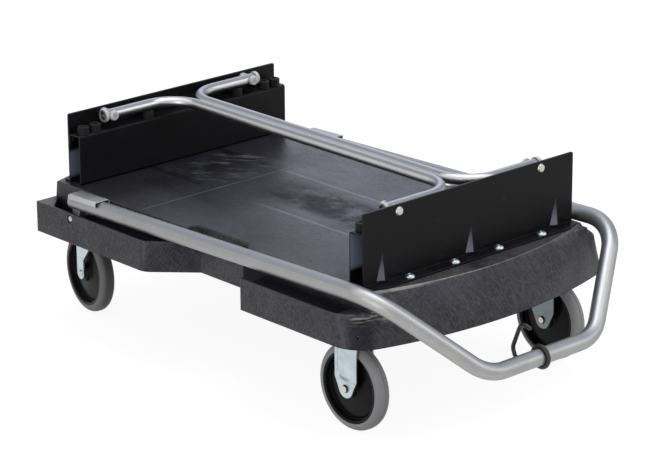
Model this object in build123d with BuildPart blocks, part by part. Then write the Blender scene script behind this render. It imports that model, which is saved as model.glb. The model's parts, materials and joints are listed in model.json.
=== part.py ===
from build123d import *
import os
from math import acos, asin, cos, radians, sin, sqrt, tan

os.makedirs("parts", exist_ok=True)

# Folding platform cart for carrying ice bins, folded flat.
# Frame: +X to the end with the fixed casters, +Y to the left, +Z up, floor at Z = 0.
# Origin: on the floor, under the middle of the whole length and width.
# Reaches along X are counted from the middle between the two end plates.

# Deck moulding
platform_width = 426.0
ledge_width = 37.0  # side ledges, outside the platform
skirt_height = 71.0
ledge_drop = 24.5  # side ledges below the deck
deck_wall = 5.0
lip_wall = 4.0  # outer wall beside the handle groove
deck_edge = 3.0  # rounding of the platform's top edge
front_foot_out = 73.0  # bowed front beyond the end plate, at the skirt's foot
front_ledge_out = 59.0
front_top_out = 49.0
front_bow_radius = 737.0
front_top_radius = 560.0
rear_wall_out = 20.0  # rear side walls beyond the end plate
rear_foot_out = 64.0
rear_ledge_out = 60.0
rear_top_out = 53.0
rear_corner_out = 17.0  # rear corners of the platform's top
seat_step = 0.5  # seats of the end plates and channels below the deck
seat_margin = 3.0  # seats reach past the channels
rib = 4.0
rib_pitch = 76.0
rib_inset = 2.0  # ribs end above the skirt's foot
overcut = 2.0  # cutting tools reach past the faces they open

# Grip recess in each side of the deck
recess_rear = -31.0
recess_front = 100.0
recess_depth = 58.0  # in from the skirt's outer face
recess_slope = 59.0  # length of the slanted wall behind the recess
recess_round = 25.0  # corner from the deck's side into the slanted wall
block_reach = 122.5  # rear face of the front side block
notch_front = 74.0
notch_corner = 7.0

# Groove under the folded handle
groove_drop = 34.0  # groove floor below the deck
groove_stop = 95.0  # where the rear groove ends, behind the recess
groove_front_in = 25.0  # front groove's end, inside the end plate
pocket_rear_in = 18.0  # deep pocket at the handle's pivot, inside the end plate
pocket_front_in = 76.0
pocket_wall = 5.0  # behind the pocket's slanted end, at the platform
pocket_base = 4.0  # pocket floor's thickness, above the caster pads
eye_r = 6.0  # sink round each pivot pin, in the deck's side
eye_depth = 2.0

# End plates and channels
plate_reach = 321.0  # outer face of each end plate
plate_inset = 10.5  # ends of the plate inside the platform's sides
plate_height = 105.9
plate_sheet = 3.0
plate_corner = 3.0
foot_width = 20.0
foot_cut = 24.0  # slanted ends of the foot, along the plate
gusset_height = 42.0
gusset_depth = 5.5
gusset_width = 23.0
gusset_inset = 34.5  # outer gussets from the plate's ends
screw_inset = 74.1
screw_out = 11.5  # screws from the end plate's outer face
screw_r = 2.5
screw_head_r = 7.2
screw_head = 4.5
screw_grip = 14.0  # length in the deck
channel_sheet = 2.0
channel_depth = 28.0  # end plate's outer face to the channel's inner face
channel_lip = 17.0
channel_foot = 15.0
channel_bend = 2.0  # inside radius of the folds
channel_head_r = 5.0  # heads of the channel's screws
channel_screw_inset = 22.5
rivet_inset = 7.5
rivet_drop = 9.0  # rivets below the ledge
rivet_r = 2.4
rivet_head_r = 4.0
rivet_head = 2.0

# Rails
rail_d = 16.0
rail_wall = 1.5
rail_drop = 9.9  # rail axis below the plate's top
rail_in = 19.0  # arm axis from the end plate's outer face
rail_gap = 4.5  # between the two long bars, folded in
rail_bend = 53.0
pivot_inset = 65.5  # rail pivots from the plate's ends
arm_tail = 13.0  # arm end past the pivot
rail_pin_r = 4.0
pin_head_r = 6.4
pin_head = 2.4
spacer_r = 7.0
cap_r = 7.5
cap_length = 5.0
collar_wall = 1.8
collar_length = 6.0
collar_lip = 1.0
bumper_r = 8.7
bumper_height = 11.6
bumper_sink = 4.0  # depth of the hole over the screw head
bumper_hole_r = 4.2
bumper_screw_r = 2.0
right_bumpers = (51.0, 29.0, -26.0)  # out from the front plate's rail pivots
left_bumpers = (-72.0, 29.0, 51.0)
soft_gap = 0.3  # clearance of parts that only rest or pass
fit_gap = 0.05  # radial clearance of pins in their bores
seat_gap = 0.02  # radial clearance of pieces pressed together

# Push handle
handle_d = 24.0
handle_wall = 1.6
leg_offset = 2.1  # leg axis outside the middle of its groove
leg_tilt = 1.61  # degrees, legs rise towards the front
pivot_in = 60.0  # handle pivots, inside the rear end plate
leg_drop = 11.2  # leg axis below the deck at the pivot
pivot_drop = 22.0  # pivot below the leg axis
handle_tail = 12.5  # tube end behind the pivot
dogleg_out = 55.0  # dog-leg corners beyond the front end plate
crossbar_out = 138.0
crossbar_half = 103.5  # half length, between the corner points
crossbar_drop = 110.5  # crossbar axis below the deck
dogleg_bend = 75.0
crossbar_bend = 65.0
handle_pin_r = 4.0
lug_width = 12.0
lug_length = 19.0
lug_eye_r = 8.0
saddle_rear = 8.5  # saddle behind the pivot
saddle_front = 56.0
saddle_sheet = 1.5
saddle_side = 7.5  # depth of the saddle's sides
saddle_corner = 4.0
saddle_gap = 0.2
plug_length = 10.0
plug_flange = 1.5

# Wire hook on the crossbar
wire_d = 6.0
hook_ring_y = -3.0
hook_y = -35.0
hook_step = 0.6  # the wire stands off the crossbar beside its ring
hook_knee = (-22.0, 16.5)  # from the crossbar's axis: along X, up
hook_crown = (-6.5, 56.0)
hook_tip = (9.0, 52.0)
hook_root_bend = 8.0
hook_bend = 12.0

# Casters
wheel_d = 125.0
tyre_width = 23.0
tyre_depth = 11.0
tyre_round = 9.5
rim_set = 0.5  # rim inside the tyre's sides
rim_wall = 4.5
web = 5.0
hub_d = 28.0
hub_gap = 1.0  # between the hub and a fork leg
step_r = 44.5  # edge of the wheel's domed disc
step_height = 1.5  # disc's edge above the web
dome = 3.0  # rise of the disc towards the hub
bush_r = 8.0
bush_gap = 0.5
axle_r = 4.5
axle_head_r = 6.0
axle_head = 2.6
tyre_gap = 2.5  # between the tyre and a fork leg
fork_sheet = 3.0
caster_room = 35.0  # top plate's upper face above the wheel
pad_drop = 52.0  # caster pads below the deck
plate_x = 100.0
plate_y = 80.0
caster_sheet = 3.0
bolt_inset_x = 10.0
bolt_inset_y = 8.0
bolt_r = 4.0
bolt_grip = 14.0  # length in the deck
hex_flat = 13.0
hex_head = 5.3
front_caster_in = 29.0  # front casters inside the end plate
front_caster_inset = 57.0  # from the deck's side
front_leg_width = 43.0
front_leg_shoulder = 14.0  # above the axle, where a fixed fork's leg starts to taper
front_eye_r = 13.5
front_eye_low = 30.0  # degrees below level, where the taper meets the eye
rear_caster_in = 36.0
rear_caster_inset = 75.0
rear_caster_turn = -10.0  # degrees, rest angle of the swivel casters
trail = 38.0
kingpin_r = 6.0
race_r = 30.0
race_depth = 4.0
washer_r = 28.0
washer = 2.7
crown = 4.0
crown_r = 36.0
crown_front = 20.0
rear_eye_r = 10.0
rear_leg_waist = 22.0  # above the axle, where a swivel fork's leg starts to widen
rear_leg_flare = 42.0
rear_leg_reach = 27.0  # leg's front edge ahead of the axle at the flare
plate_round = 7.0  # corners of the top plates
kingpin_flat = 19.0
kingpin_nut = 9.0
swivel_room_r = 66.0

# Places worked out from the sizes above
caster_height = wheel_d + caster_room
deck_top = caster_height + pad_drop
deck_width = platform_width + 2 * ledge_width
half_width = deck_width / 2
half_platform = platform_width / 2
front_bow_foot = plate_reach + front_foot_out
front_bow_ledge = plate_reach + front_ledge_out
front_bow_top = plate_reach + front_top_out
rear_wall_reach = plate_reach + rear_wall_out
rear_bow_foot = plate_reach + rear_foot_out
rear_bow_ledge = plate_reach + rear_ledge_out
rear_bow_top = plate_reach + rear_top_out
rear_top_reach = plate_reach + rear_corner_out
pivot_reach = plate_reach - pivot_in
dogleg_reach = plate_reach + dogleg_out
crossbar_reach = plate_reach + crossbar_out
crossbar_height = deck_top - crossbar_drop
front_caster_reach = plate_reach - front_caster_in
front_caster_y = half_width - front_caster_inset
rear_caster_reach = plate_reach - rear_caster_in
rear_caster_y = half_width - rear_caster_inset
skirt_foot = deck_top - skirt_height
ledge_top = deck_top - ledge_drop
groove_floor = deck_top - groove_drop
pocket_floor = caster_height + pocket_base
groove_width = ledge_width - lip_wall
leg_spread = half_platform + groove_width / 2 + leg_offset
recess_y = half_width - recess_depth
handle_r = handle_d / 2
rail_r = rail_d / 2
wheel_r = wheel_d / 2
wire_r = wire_d / 2
hook_ring_r = handle_r + fit_gap + wire_r
mid_x = (rear_bow_foot - crossbar_reach - hook_ring_r - wire_r) / 2
seat_top = deck_top - seat_step
rail_height = plate_height - rail_drop  # above the seat
rail_z = seat_top + rail_height
channel_height = rail_height - rail_r - soft_gap - bumper_height
plate_length = platform_width - 2 * plate_inset
gusset_spacing = plate_length / 2 - gusset_inset
screw_spacing = (plate_length - 2 * screw_inset) / 3
channel_screw_spacing = (plate_length - 2 * channel_screw_inset) / 3
rivet_spacing = (plate_length - 2 * rivet_inset) / 3
pivot_spread = plate_length / 2 - pivot_inset
bumper_places = [-pivot_spread - out for out in right_bumpers]
bumper_places += [pivot_spread + out for out in left_bumpers]
collar_r = rail_r + collar_wall
fork_gap = tyre_width + 2 * tyre_gap
rim_width = tyre_width - 2 * rim_set
hub_length = fork_gap - 2 * hub_gap
bush_length = fork_gap - 2 * bush_gap
bolt_x = plate_x - 2 * bolt_inset_x
bolt_y = plate_y - 2 * bolt_inset_y
arm_x = plate_reach - rail_in
bar_y = rail_r + rail_gap / 2
pivot_x = mid_x - pivot_reach
leg_z = deck_top - leg_drop
pivot_z = leg_z - pivot_drop
leg_way = Vector(cos(radians(leg_tilt)), 0, sin(radians(leg_tilt)))
sides = {"right": -1, "left": 1}
ends = {
    "front": Plane((mid_x, 0, seat_top), x_dir=(1, 0, 0), z_dir=(0, 0, 1)),
    "rear": Plane((mid_x, 0, seat_top), x_dir=(-1, 0, 0), z_dir=(0, 0, 1)),
}


def across(base, y):
    """Upright plane along a base plane's x, at y; extruding goes towards lower y."""
    return Plane(base.from_local_coords((0, y, 0)), x_dir=base.x_dir, z_dir=-base.y_dir)


def facing(base, x):
    """Upright plane across a base plane's x; extruding goes towards higher x."""
    return Plane(base.from_local_coords((x, 0, 0)), x_dir=base.y_dir, z_dir=base.x_dir)


def bow_end(reach, radius, half):
    """Where a bowed end of this reach and radius meets a straight side."""
    return reach - radius + sqrt(radius**2 - half**2)


def skirt_outline(front_reach, rear_reach):
    """Deck outline at the skirt: rounded front corners, bowed ends, square rear corners."""
    turn = asin(half_platform / front_bow_radius)
    corner_r = (half_width - half_platform) / (1 - sin(turn))
    edge = mid_x + bow_end(front_reach, front_bow_radius, half_platform)
    corner = edge - corner_r * cos(turn)
    rear = mid_x - rear_wall_reach
    with BuildLine() as outline:
        Line((rear, -half_width), (corner, -half_width))
        TangentArc((corner, -half_width), (edge, -half_platform), tangent=(1, 0))
        ThreePointArc((edge, -half_platform), (mid_x + front_reach, 0), (edge, half_platform))
        TangentArc((edge, half_platform), (corner, half_width), tangent=(-sin(turn), cos(turn)))
        Line((corner, half_width), (rear, half_width))
        Line((rear, half_width), (rear, half_platform))
        ThreePointArc((rear, half_platform), (mid_x - rear_reach, 0), (rear, -half_platform))
        Line((rear, -half_platform), (rear, -half_width))
    make_face(outline.edges())


def platform_outline(front_reach, radius, rear_reach, rear_side, half):
    """Straight sides between two bowed ends."""
    front = mid_x + bow_end(front_reach, radius, half)
    rear = mid_x - rear_side
    with BuildLine() as outline:
        Line((rear, -half), (front, -half))
        ThreePointArc((front, -half), (mid_x + front_reach, 0), (front, half))
        Line((front, half), (rear, half))
        ThreePointArc((rear, half), (mid_x - rear_reach, 0), (rear, -half))
    make_face(outline.edges())


def recess_outline(side):
    """Grip recess below the ledge: slanted wall at the rear, side block at the front."""
    rear = mid_x + recess_rear
    corner = Vector(rear - recess_slope, side * half_width)
    slope = Vector(recess_slope, -side * recess_depth).normalized()
    run = recess_round * tan(acos(slope.X) / 2)
    with BuildLine() as outline:
        round_corner = TangentArc(corner - (run, 0), corner + slope * run, tangent=(1, 0))
        Polyline(
            round_corner @ 1,
            (rear, side * recess_y),
            (mid_x + recess_front, side * recess_y),
            (mid_x + block_reach, side * half_platform),
            (mid_x + block_reach, side * (half_width + overcut)),
            round_corner @ 0 + Vector(0, side * overcut),
            round_corner @ 0,
        )
    make_face(outline.edges())


def notch_outline(side):
    """Notch that the recess leaves in the platform's edge."""
    rear = mid_x + recess_rear
    front = mid_x + notch_front
    run_out = half_platform - recess_y
    with BuildLine() as outline:
        Polyline(
            (rear - notch_corner, side * (half_platform + overcut)),
            (rear - notch_corner, side * (recess_y + notch_corner)),
            (rear, side * recess_y),
            (front, side * recess_y),
            (front + run_out, side * half_platform),
            (front + run_out, side * (half_platform + overcut)),
            close=True,
        )
    make_face(outline.edges())


# Room inside the deck moulding, open below
with BuildPart() as hollow:
    room_half = half_platform - deck_wall
    room_rear = rear_wall_reach - deck_wall
    foot_rear = rear_bow_foot - deck_wall
    ledge_rear = rear_bow_ledge - deck_wall
    top_rear = rear_bow_top - deck_wall
    top_side = rear_top_reach - deck_wall
    with BuildSketch(Plane.XY.offset(skirt_foot)):
        platform_outline(front_bow_foot - deck_wall, front_bow_radius, foot_rear, room_rear, room_half)
    with BuildSketch(Plane.XY.offset(ledge_top)):
        platform_outline(front_bow_ledge - deck_wall, front_bow_radius, ledge_rear, room_rear, room_half)
    loft(ruled=True)
    with BuildSketch(Plane.XY.offset(ledge_top)):
        platform_outline(front_bow_ledge - deck_wall, front_bow_radius, ledge_rear, room_rear, room_half)
    with BuildSketch(Plane.XY.offset(deck_top - deck_wall)):
        platform_outline(front_bow_top - deck_wall, front_top_radius, top_rear, top_side, room_half)
    loft(ruled=True)
    for side in sides.values():
        with BuildSketch(Plane.XY.offset(skirt_foot)):
            recess_outline(side)
            offset(amount=deck_wall, kind=Kind.INTERSECTION)
        extrude(amount=ledge_top - skirt_foot + deck_wall, mode=Mode.SUBTRACT)
        with BuildSketch(Plane.XY.offset(ledge_top - deck_wall)):
            notch_outline(side)
            offset(amount=deck_wall, kind=Kind.INTERSECTION)
        extrude(amount=ledge_drop + deck_wall, mode=Mode.SUBTRACT)

# Stiffening ribs under the deck
with BuildPart() as ribs:
    rib_top = deck_top - deck_wall
    rib_height = rib_top - skirt_foot - rib_inset
    rib_z = rib_top - rib_height / 2
    cross_count = int(rear_bow_foot // rib_pitch)
    long_count = int(half_platform // rib_pitch)
    with Locations(*[(mid_x + n * rib_pitch, 0, rib_z) for n in range(-cross_count, cross_count + 1)]):
        Box(rib, deck_width, rib_height)
    with Locations(*[(mid_x, n * rib_pitch, rib_z) for n in range(-long_count, long_count + 1)]):
        Box(front_bow_foot + rear_bow_foot, rib, rib_height)
    add(hollow.part, mode=Mode.INTERSECT)

front_pads = [(mid_x + front_caster_reach, side * front_caster_y) for side in sides.values()]
rear_pads = [(mid_x - rear_caster_reach, side * rear_caster_y) for side in sides.values()]

with BuildPart() as deck_platform:
    with BuildSketch(Plane.XY.offset(skirt_foot)):
        skirt_outline(front_bow_foot, rear_bow_foot)
    with BuildSketch(Plane.XY.offset(ledge_top)):
        skirt_outline(front_bow_ledge, rear_bow_ledge)
    loft(ruled=True)
    with BuildSketch(Plane.XY.offset(ledge_top)):
        platform_outline(front_bow_ledge, front_bow_radius, rear_bow_ledge, rear_wall_reach, half_platform)
    with BuildSketch(Plane.XY.offset(deck_top)):
        platform_outline(front_bow_top, front_top_radius, rear_bow_top, rear_top_reach, half_platform)
    loft(ruled=True)
    # Grip recesses and their notches
    for side in sides.values():
        with BuildSketch(Plane.XY.offset(skirt_foot - overcut)):
            recess_outline(side)
        extrude(amount=ledge_top - skirt_foot + overcut, mode=Mode.SUBTRACT)
        with BuildSketch(Plane.XY.offset(ledge_top)):
            notch_outline(side)
        extrude(amount=ledge_drop + overcut, mode=Mode.SUBTRACT)
    fillet(deck_platform.faces().sort_by(Axis.Z)[-1].edges(), radius=deck_edge)
    # Seats of the end plates and channels
    for base in ends.values():
        with BuildSketch(base):
            with Locations((plate_reach - channel_depth - seat_margin, 0)):
                Rectangle(plate_reach, deck_width, align=(Align.MIN, Align.CENTER))
        extrude(amount=seat_step, mode=Mode.SUBTRACT)
    # Grooves for the folded handle, with a ramp at the front and a pocket at the pivot
    groove_front = mid_x + plate_reach - groove_front_in
    pocket_rear = mid_x - plate_reach + pocket_rear_in
    pocket_front = mid_x - plate_reach + pocket_front_in
    for side in sides.values():
        groove_y = half_width - lip_wall if side > 0 else -half_platform
        with BuildSketch(Plane.XZ.offset(-groove_y)):
            with BuildLine():
                Polyline(
                    (mid_x + block_reach - overcut, ledge_top + overcut),
                    (mid_x + block_reach - overcut, groove_floor),
                    (groove_front, groove_floor),
                    (groove_front + ledge_drop, ledge_top + overcut),
                    close=True,
                )
            make_face()
            with BuildLine():
                Polyline(
                    (pocket_front - overcut, ledge_top + overcut),
                    (pocket_front - overcut, groove_floor),
                    (mid_x - groove_stop, groove_floor),
                    (mid_x - groove_stop + groove_drop - ledge_drop, ledge_top + overcut),
                    close=True,
                )
            make_face()
        extrude(amount=groove_width, mode=Mode.SUBTRACT)
        with BuildSketch(Plane.XY.offset(pocket_floor)):
            with BuildLine():
                Polyline(
                    (mid_x - rear_wall_reach + pocket_wall, side * half_platform),
                    (pocket_rear, side * (half_platform + groove_width)),
                    (pocket_front, side * (half_platform + groove_width)),
                    (pocket_front, side * half_platform),
                    close=True,
                )
            make_face()
        extrude(amount=ledge_top - pocket_floor + overcut, mode=Mode.SUBTRACT)
    # Hollow underside with its ribs
    add(hollow.part, mode=Mode.SUBTRACT)
    add(ribs.part)
    side_room_y = half_platform + groove_width / 2
    side_room = groove_width - 2 * deck_wall
    side_roof = groove_floor - deck_wall
    slope_rear = mid_x + recess_rear - recess_slope
    rear_room = (pocket_front + deck_wall, slope_rear - deck_wall)
    front_room = (mid_x + block_reach + deck_wall, front_pads[0][0] - plate_x / 2 - deck_wall)
    pocket_room = (pocket_rear + deck_wall, pocket_front - deck_wall)
    side_rooms = ((rear_room, side_roof), (front_room, side_roof), (pocket_room, caster_height))
    for (start, stop), roof in side_rooms:
        with BuildSketch(Plane.XY.offset(skirt_foot)):
            with Locations(((start + stop) / 2, side_room_y), ((start + stop) / 2, -side_room_y)):
                Rectangle(stop - start, side_room)
        extrude(amount=roof - skirt_foot, mode=Mode.SUBTRACT)
    # Room round the casters, and the pads that they bolt to
    with BuildSketch(Plane.XY.offset(skirt_foot)):
        with Locations(*front_pads):
            Rectangle(plate_x + deck_wall, plate_y + deck_wall)
        with Locations(*rear_pads):
            Circle(swivel_room_r)
    extrude(amount=caster_height - skirt_foot, mode=Mode.SUBTRACT)
    with BuildSketch(Plane.XY.offset(caster_height)):
        for pads in (front_pads, rear_pads):
            for x, y in pads:
                outer = min(abs(y) + plate_y / 2, half_platform)
                inner = abs(y) - plate_y / 2
                with Locations((x, (1 if y > 0 else -1) * (outer + inner) / 2)):
                    Rectangle(plate_x, outer - inner)
    extrude(amount=deck_top - deck_wall - caster_height)
    with BuildSketch(Plane.XY.offset(caster_height)):
        with Locations(*front_pads, *rear_pads):
            with GridLocations(bolt_x, bolt_y, 2, 2):
                Circle(bolt_r + fit_gap)
    extrude(amount=bolt_grip + soft_gap, mode=Mode.SUBTRACT)
    # Pivot pin holes with their sinks, screw holes under the end plates and channels
    for side in sides.values():
        with BuildSketch(Plane.XZ.offset(-side * (half_width + overcut))):
            with Locations((pivot_x, pivot_z)):
                Circle(handle_pin_r + seat_gap)
        extrude(amount=side * (half_width - half_platform + lug_eye_r + overcut), mode=Mode.SUBTRACT)
        with BuildSketch(Plane.XZ.offset(-side * (half_width + overcut))):
            with Locations((pivot_x, pivot_z)):
                Circle(eye_r)
        extrude(amount=side * (eye_depth + overcut), mode=Mode.SUBTRACT)
    for base in ends.values():
        with BuildSketch(base):
            with Locations((plate_reach + screw_out, 0)):
                with GridLocations(0, screw_spacing, 1, 4):
                    Circle(screw_r + fit_gap)
            with Locations((plate_reach - channel_depth + channel_foot / 2 + channel_sheet, 0)):
                with GridLocations(0, channel_screw_spacing, 1, 4):
                    Circle(screw_r + fit_gap)
        extrude(amount=-screw_grip, mode=Mode.SUBTRACT)
deck_platform.part.label = "deck_platform"
export_step(deck_platform.part, "parts/deck_platform.step")

# End plates: upright sheet, outward foot with slanted ends, three pressed gussets
for end, base in ends.items():
    with BuildPart() as end_plate:
        with BuildSketch(facing(base, plate_reach - plate_sheet)) as upright:
            with Locations((0, plate_height / 2)):
                Rectangle(plate_length, plate_height)
            fillet(upright.vertices().group_by(Axis.Y)[-1], radius=plate_corner)
        extrude(amount=plate_sheet)
        with BuildSketch(base):
            with BuildLine():
                foot_end = plate_length / 2
                Polyline(
                    (plate_reach - plate_sheet, -foot_end),
                    (plate_reach + foot_width / 2, -foot_end),
                    (plate_reach + foot_width, foot_cut - foot_end),
                    (plate_reach + foot_width, foot_end - foot_cut),
                    (plate_reach + foot_width / 2, foot_end),
                    (plate_reach - plate_sheet, foot_end),
                    close=True,
                )
            make_face()
        extrude(amount=plate_sheet)
        for y in (-gusset_spacing, 0, gusset_spacing):
            with BuildSketch(base.offset(plate_sheet)) as gusset_foot:
                with BuildLine():
                    Polyline(
                        (plate_reach, y - gusset_width / 2),
                        (plate_reach + gusset_depth, y),
                        (plate_reach, y + gusset_width / 2),
                        close=True,
                    )
                make_face()
            peak = Vertex(*base.from_local_coords((plate_reach, y, plate_sheet + gusset_height)))
            loft(sections=[gusset_foot.sketch.faces()[0], peak])
        with BuildSketch(base):
            with Locations((plate_reach + screw_out, 0)):
                with GridLocations(0, screw_spacing, 1, 4):
                    Circle(screw_r + fit_gap)
        extrude(amount=plate_sheet, mode=Mode.SUBTRACT)
        with BuildSketch(facing(base, plate_reach - plate_sheet)):
            with Locations((-pivot_spread, rail_height), (pivot_spread, rail_height)):
                Circle(rail_pin_r + seat_gap)
            with Locations((0, channel_height - rivet_drop)):
                with GridLocations(rivet_spacing, 0, 4, 1):
                    Circle(rivet_r + seat_gap)
        extrude(amount=plate_sheet, mode=Mode.SUBTRACT)
    end_plate.part.label = f"{end}_end_plate"
    export_step(end_plate.part, f"parts/{end}_end_plate.step")

# Channels behind the end plates: lip on the plate, ledge, inner wall and a foot on the deck
channel_in = plate_reach - channel_depth
lip_face = plate_reach - plate_sheet
channel_foot_mid = channel_in + channel_foot / 2 + channel_sheet
for end, base in ends.items():
    with BuildPart() as channel:
        outer_bend = channel_bend + channel_sheet
        with BuildSketch(across(base, plate_length / 2)):
            with BuildLine():
                FilletPolyline(
                    (lip_face, channel_height - channel_lip),
                    (lip_face, channel_height),
                    (channel_in, channel_height),
                    (channel_in, 0),
                    (channel_in + channel_foot + channel_sheet, 0),
                    (channel_in + channel_foot + channel_sheet, channel_sheet),
                    (channel_in + channel_sheet, channel_sheet),
                    (channel_in + channel_sheet, channel_height - channel_sheet),
                    (lip_face - channel_sheet, channel_height - channel_sheet),
                    (lip_face - channel_sheet, channel_height - channel_lip),
                    radius=[0] + 3 * [outer_bend] + 2 * [0] + 3 * [channel_bend] + [0],
                    close=True,
                )
            make_face()
        extrude(amount=plate_length)
        with BuildSketch(base):
            with Locations((channel_foot_mid, 0)):
                with GridLocations(0, channel_screw_spacing, 1, 4):
                    Circle(screw_r + fit_gap)
        extrude(amount=channel_sheet, mode=Mode.SUBTRACT)
        with BuildSketch(base.offset(channel_height - channel_sheet)):
            with Locations(*[(arm_x, y) for y in bumper_places]):
                Circle(bumper_screw_r + fit_gap)
        extrude(amount=channel_sheet, mode=Mode.SUBTRACT)
        with BuildSketch(facing(base, lip_face - channel_sheet)):
            with Locations((0, channel_height - rivet_drop)):
                with GridLocations(rivet_spacing, 0, 4, 1):
                    Circle(rivet_r + seat_gap)
        extrude(amount=channel_sheet, mode=Mode.SUBTRACT)
    channel.part.label = f"{end}_channel"
    export_step(channel.part, f"parts/{end}_channel.step")


def pan_screws(base, seat, places, shank_r, shank_length, head_r, head_height, cross):
    """Pan head screws standing on a seat height, with a cross recess in each head."""
    with BuildSketch(base.offset(seat - shank_length)) as shanks:
        with Locations(*places):
            Circle(shank_r)
    extrude(shanks.sketch, amount=shank_length)
    with BuildSketch(base.offset(seat)) as heads:
        with Locations(*places):
            Circle(head_r)
    extrude(heads.sketch, amount=head_height, taper=20)
    with BuildSketch(base.offset(seat + head_height)) as crosses:
        with Locations(*places):
            Rectangle(cross, cross / 4)
            Rectangle(cross / 4, cross)
    extrude(crosses.sketch, amount=-head_height / 2, mode=Mode.SUBTRACT)


def row(x, pitch, count):
    """Places of a row of screws across the deck, on an end's base plane."""
    return [(x, pitch * (n - (count - 1) / 2)) for n in range(count)]


with BuildPart() as end_plate_screws:
    for base in ends.values():
        pan_screws(base, plate_sheet, row(plate_reach + screw_out, screw_spacing, 4), screw_r,
                   screw_grip + plate_sheet - soft_gap, screw_head_r, screw_head, screw_head_r)
end_plate_screws.part.label = "end_plate_screws"
export_step(end_plate_screws.part, "parts/end_plate_screws.step")

with BuildPart() as channel_screws:
    for base in ends.values():
        pan_screws(base, channel_sheet, row(channel_foot_mid, channel_screw_spacing, 4), screw_r,
                   screw_grip + channel_sheet - soft_gap, channel_head_r, screw_head, channel_head_r)
channel_screws.part.label = "channel_screws"
export_step(channel_screws.part, "parts/channel_screws.step")

with BuildPart() as channel_rivets:
    for base in ends.values():
        rivet_base = facing(base, lip_face - channel_sheet)
        with BuildSketch(rivet_base):
            with Locations((0, channel_height - rivet_drop)):
                with GridLocations(rivet_spacing, 0, 4, 1):
                    Circle(rivet_r)
        extrude(amount=channel_sheet + plate_sheet)
        with BuildSketch(rivet_base):
            with Locations((0, channel_height - rivet_drop)):
                with GridLocations(rivet_spacing, 0, 4, 1):
                    Circle(rivet_head_r)
        extrude(amount=-rivet_head, taper=25)
channel_rivets.part.label = "channel_rivets"
export_step(channel_rivets.part, "parts/channel_rivets.step")

# Rubber bumpers on the ledges, which carry the rails folded in and swung out
with BuildPart() as rail_bumpers:
    for base in ends.values():
        bumper_spots = [(arm_x, y) for y in bumper_places]
        with BuildSketch(base.offset(channel_height)):
            with Locations(*bumper_spots):
                Circle(bumper_r)
                Circle(bumper_screw_r + fit_gap, mode=Mode.SUBTRACT)
        extrude(amount=bumper_height)
        with BuildSketch(base.offset(channel_height + bumper_height)):
            with Locations(*bumper_spots):
                Circle(bumper_hole_r)
        extrude(amount=-bumper_sink, mode=Mode.SUBTRACT)
    rims = rail_bumpers.edges().filter_by(GeomType.CIRCLE).group_by(Axis.Z)[-1]
    chamfer(rims.filter_by(lambda edge: edge.radius > bumper_hole_r + fit_gap), length=1)
rail_bumpers.part.label = "rail_bumpers"
export_step(rail_bumpers.part, "parts/rail_bumpers.step")

with BuildPart() as bumper_screws:
    for base in ends.values():
        pan_screws(base, channel_height + bumper_height - bumper_sink, [(arm_x, y) for y in bumper_places],
                   bumper_screw_r, bumper_height - bumper_sink + 2 * channel_sheet,
                   bumper_hole_r - soft_gap, bumper_sink / 2, bumper_hole_r)
bumper_screws.part.label = "bumper_screws"
export_step(bumper_screws.part, "parts/bumper_screws.step")

# Rail pivots: pin with a round head outside the end plate, spacer, and a cap inside the arm
pivot_spots = [(-pivot_spread, rail_height), (pivot_spread, rail_height)]
spacer = rail_in - rail_r - plate_sheet - soft_gap
cap_face = arm_x - rail_r - soft_gap
with BuildPart() as rail_pivot_pins:
    for base in ends.values():
        with BuildSketch(facing(base, cap_face - cap_length / 2)):
            with Locations(*pivot_spots):
                Circle(rail_pin_r)
        extrude(amount=plate_reach - cap_face + cap_length / 2)
        with BuildSketch(facing(base, plate_reach)):
            with Locations(*pivot_spots):
                Circle(pin_head_r)
        extrude(amount=pin_head, taper=30)
rail_pivot_pins.part.label = "rail_pivot_pins"
export_step(rail_pivot_pins.part, "parts/rail_pivot_pins.step")

with BuildPart() as rail_pivot_spacers:
    for base in ends.values():
        with BuildSketch(facing(base, lip_face)):
            with Locations(*pivot_spots):
                Circle(spacer_r)
                Circle(rail_pin_r + fit_gap, mode=Mode.SUBTRACT)
        extrude(amount=-spacer)
rail_pivot_spacers.part.label = "rail_pivot_spacers"
export_step(rail_pivot_spacers.part, "parts/rail_pivot_spacers.step")

with BuildPart() as rail_pin_caps:
    for base in ends.values():
        with BuildSketch(facing(base, cap_face)):
            with Locations(*pivot_spots):
                Circle(cap_r)
        extrude(amount=-cap_length)
        with BuildSketch(facing(base, cap_face)):
            with Locations(*pivot_spots):
                Circle(rail_pin_r + seat_gap)
        extrude(amount=-cap_length / 2, mode=Mode.SUBTRACT)
    cap_rims = rail_pin_caps.edges().filter_by(GeomType.CIRCLE)
    cap_rims = cap_rims.filter_by(lambda rim: rim.radius > cap_r - fit_gap)
    cap_rims = cap_rims.filter_by(lambda rim: abs(rim.center().X - mid_x) < cap_face - fit_gap)
    fillet(cap_rims, radius=cap_length / 2 - fit_gap)
rail_pin_caps.part.label = "rail_pin_caps"
export_step(rail_pin_caps.part, "parts/rail_pin_caps.step")

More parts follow.
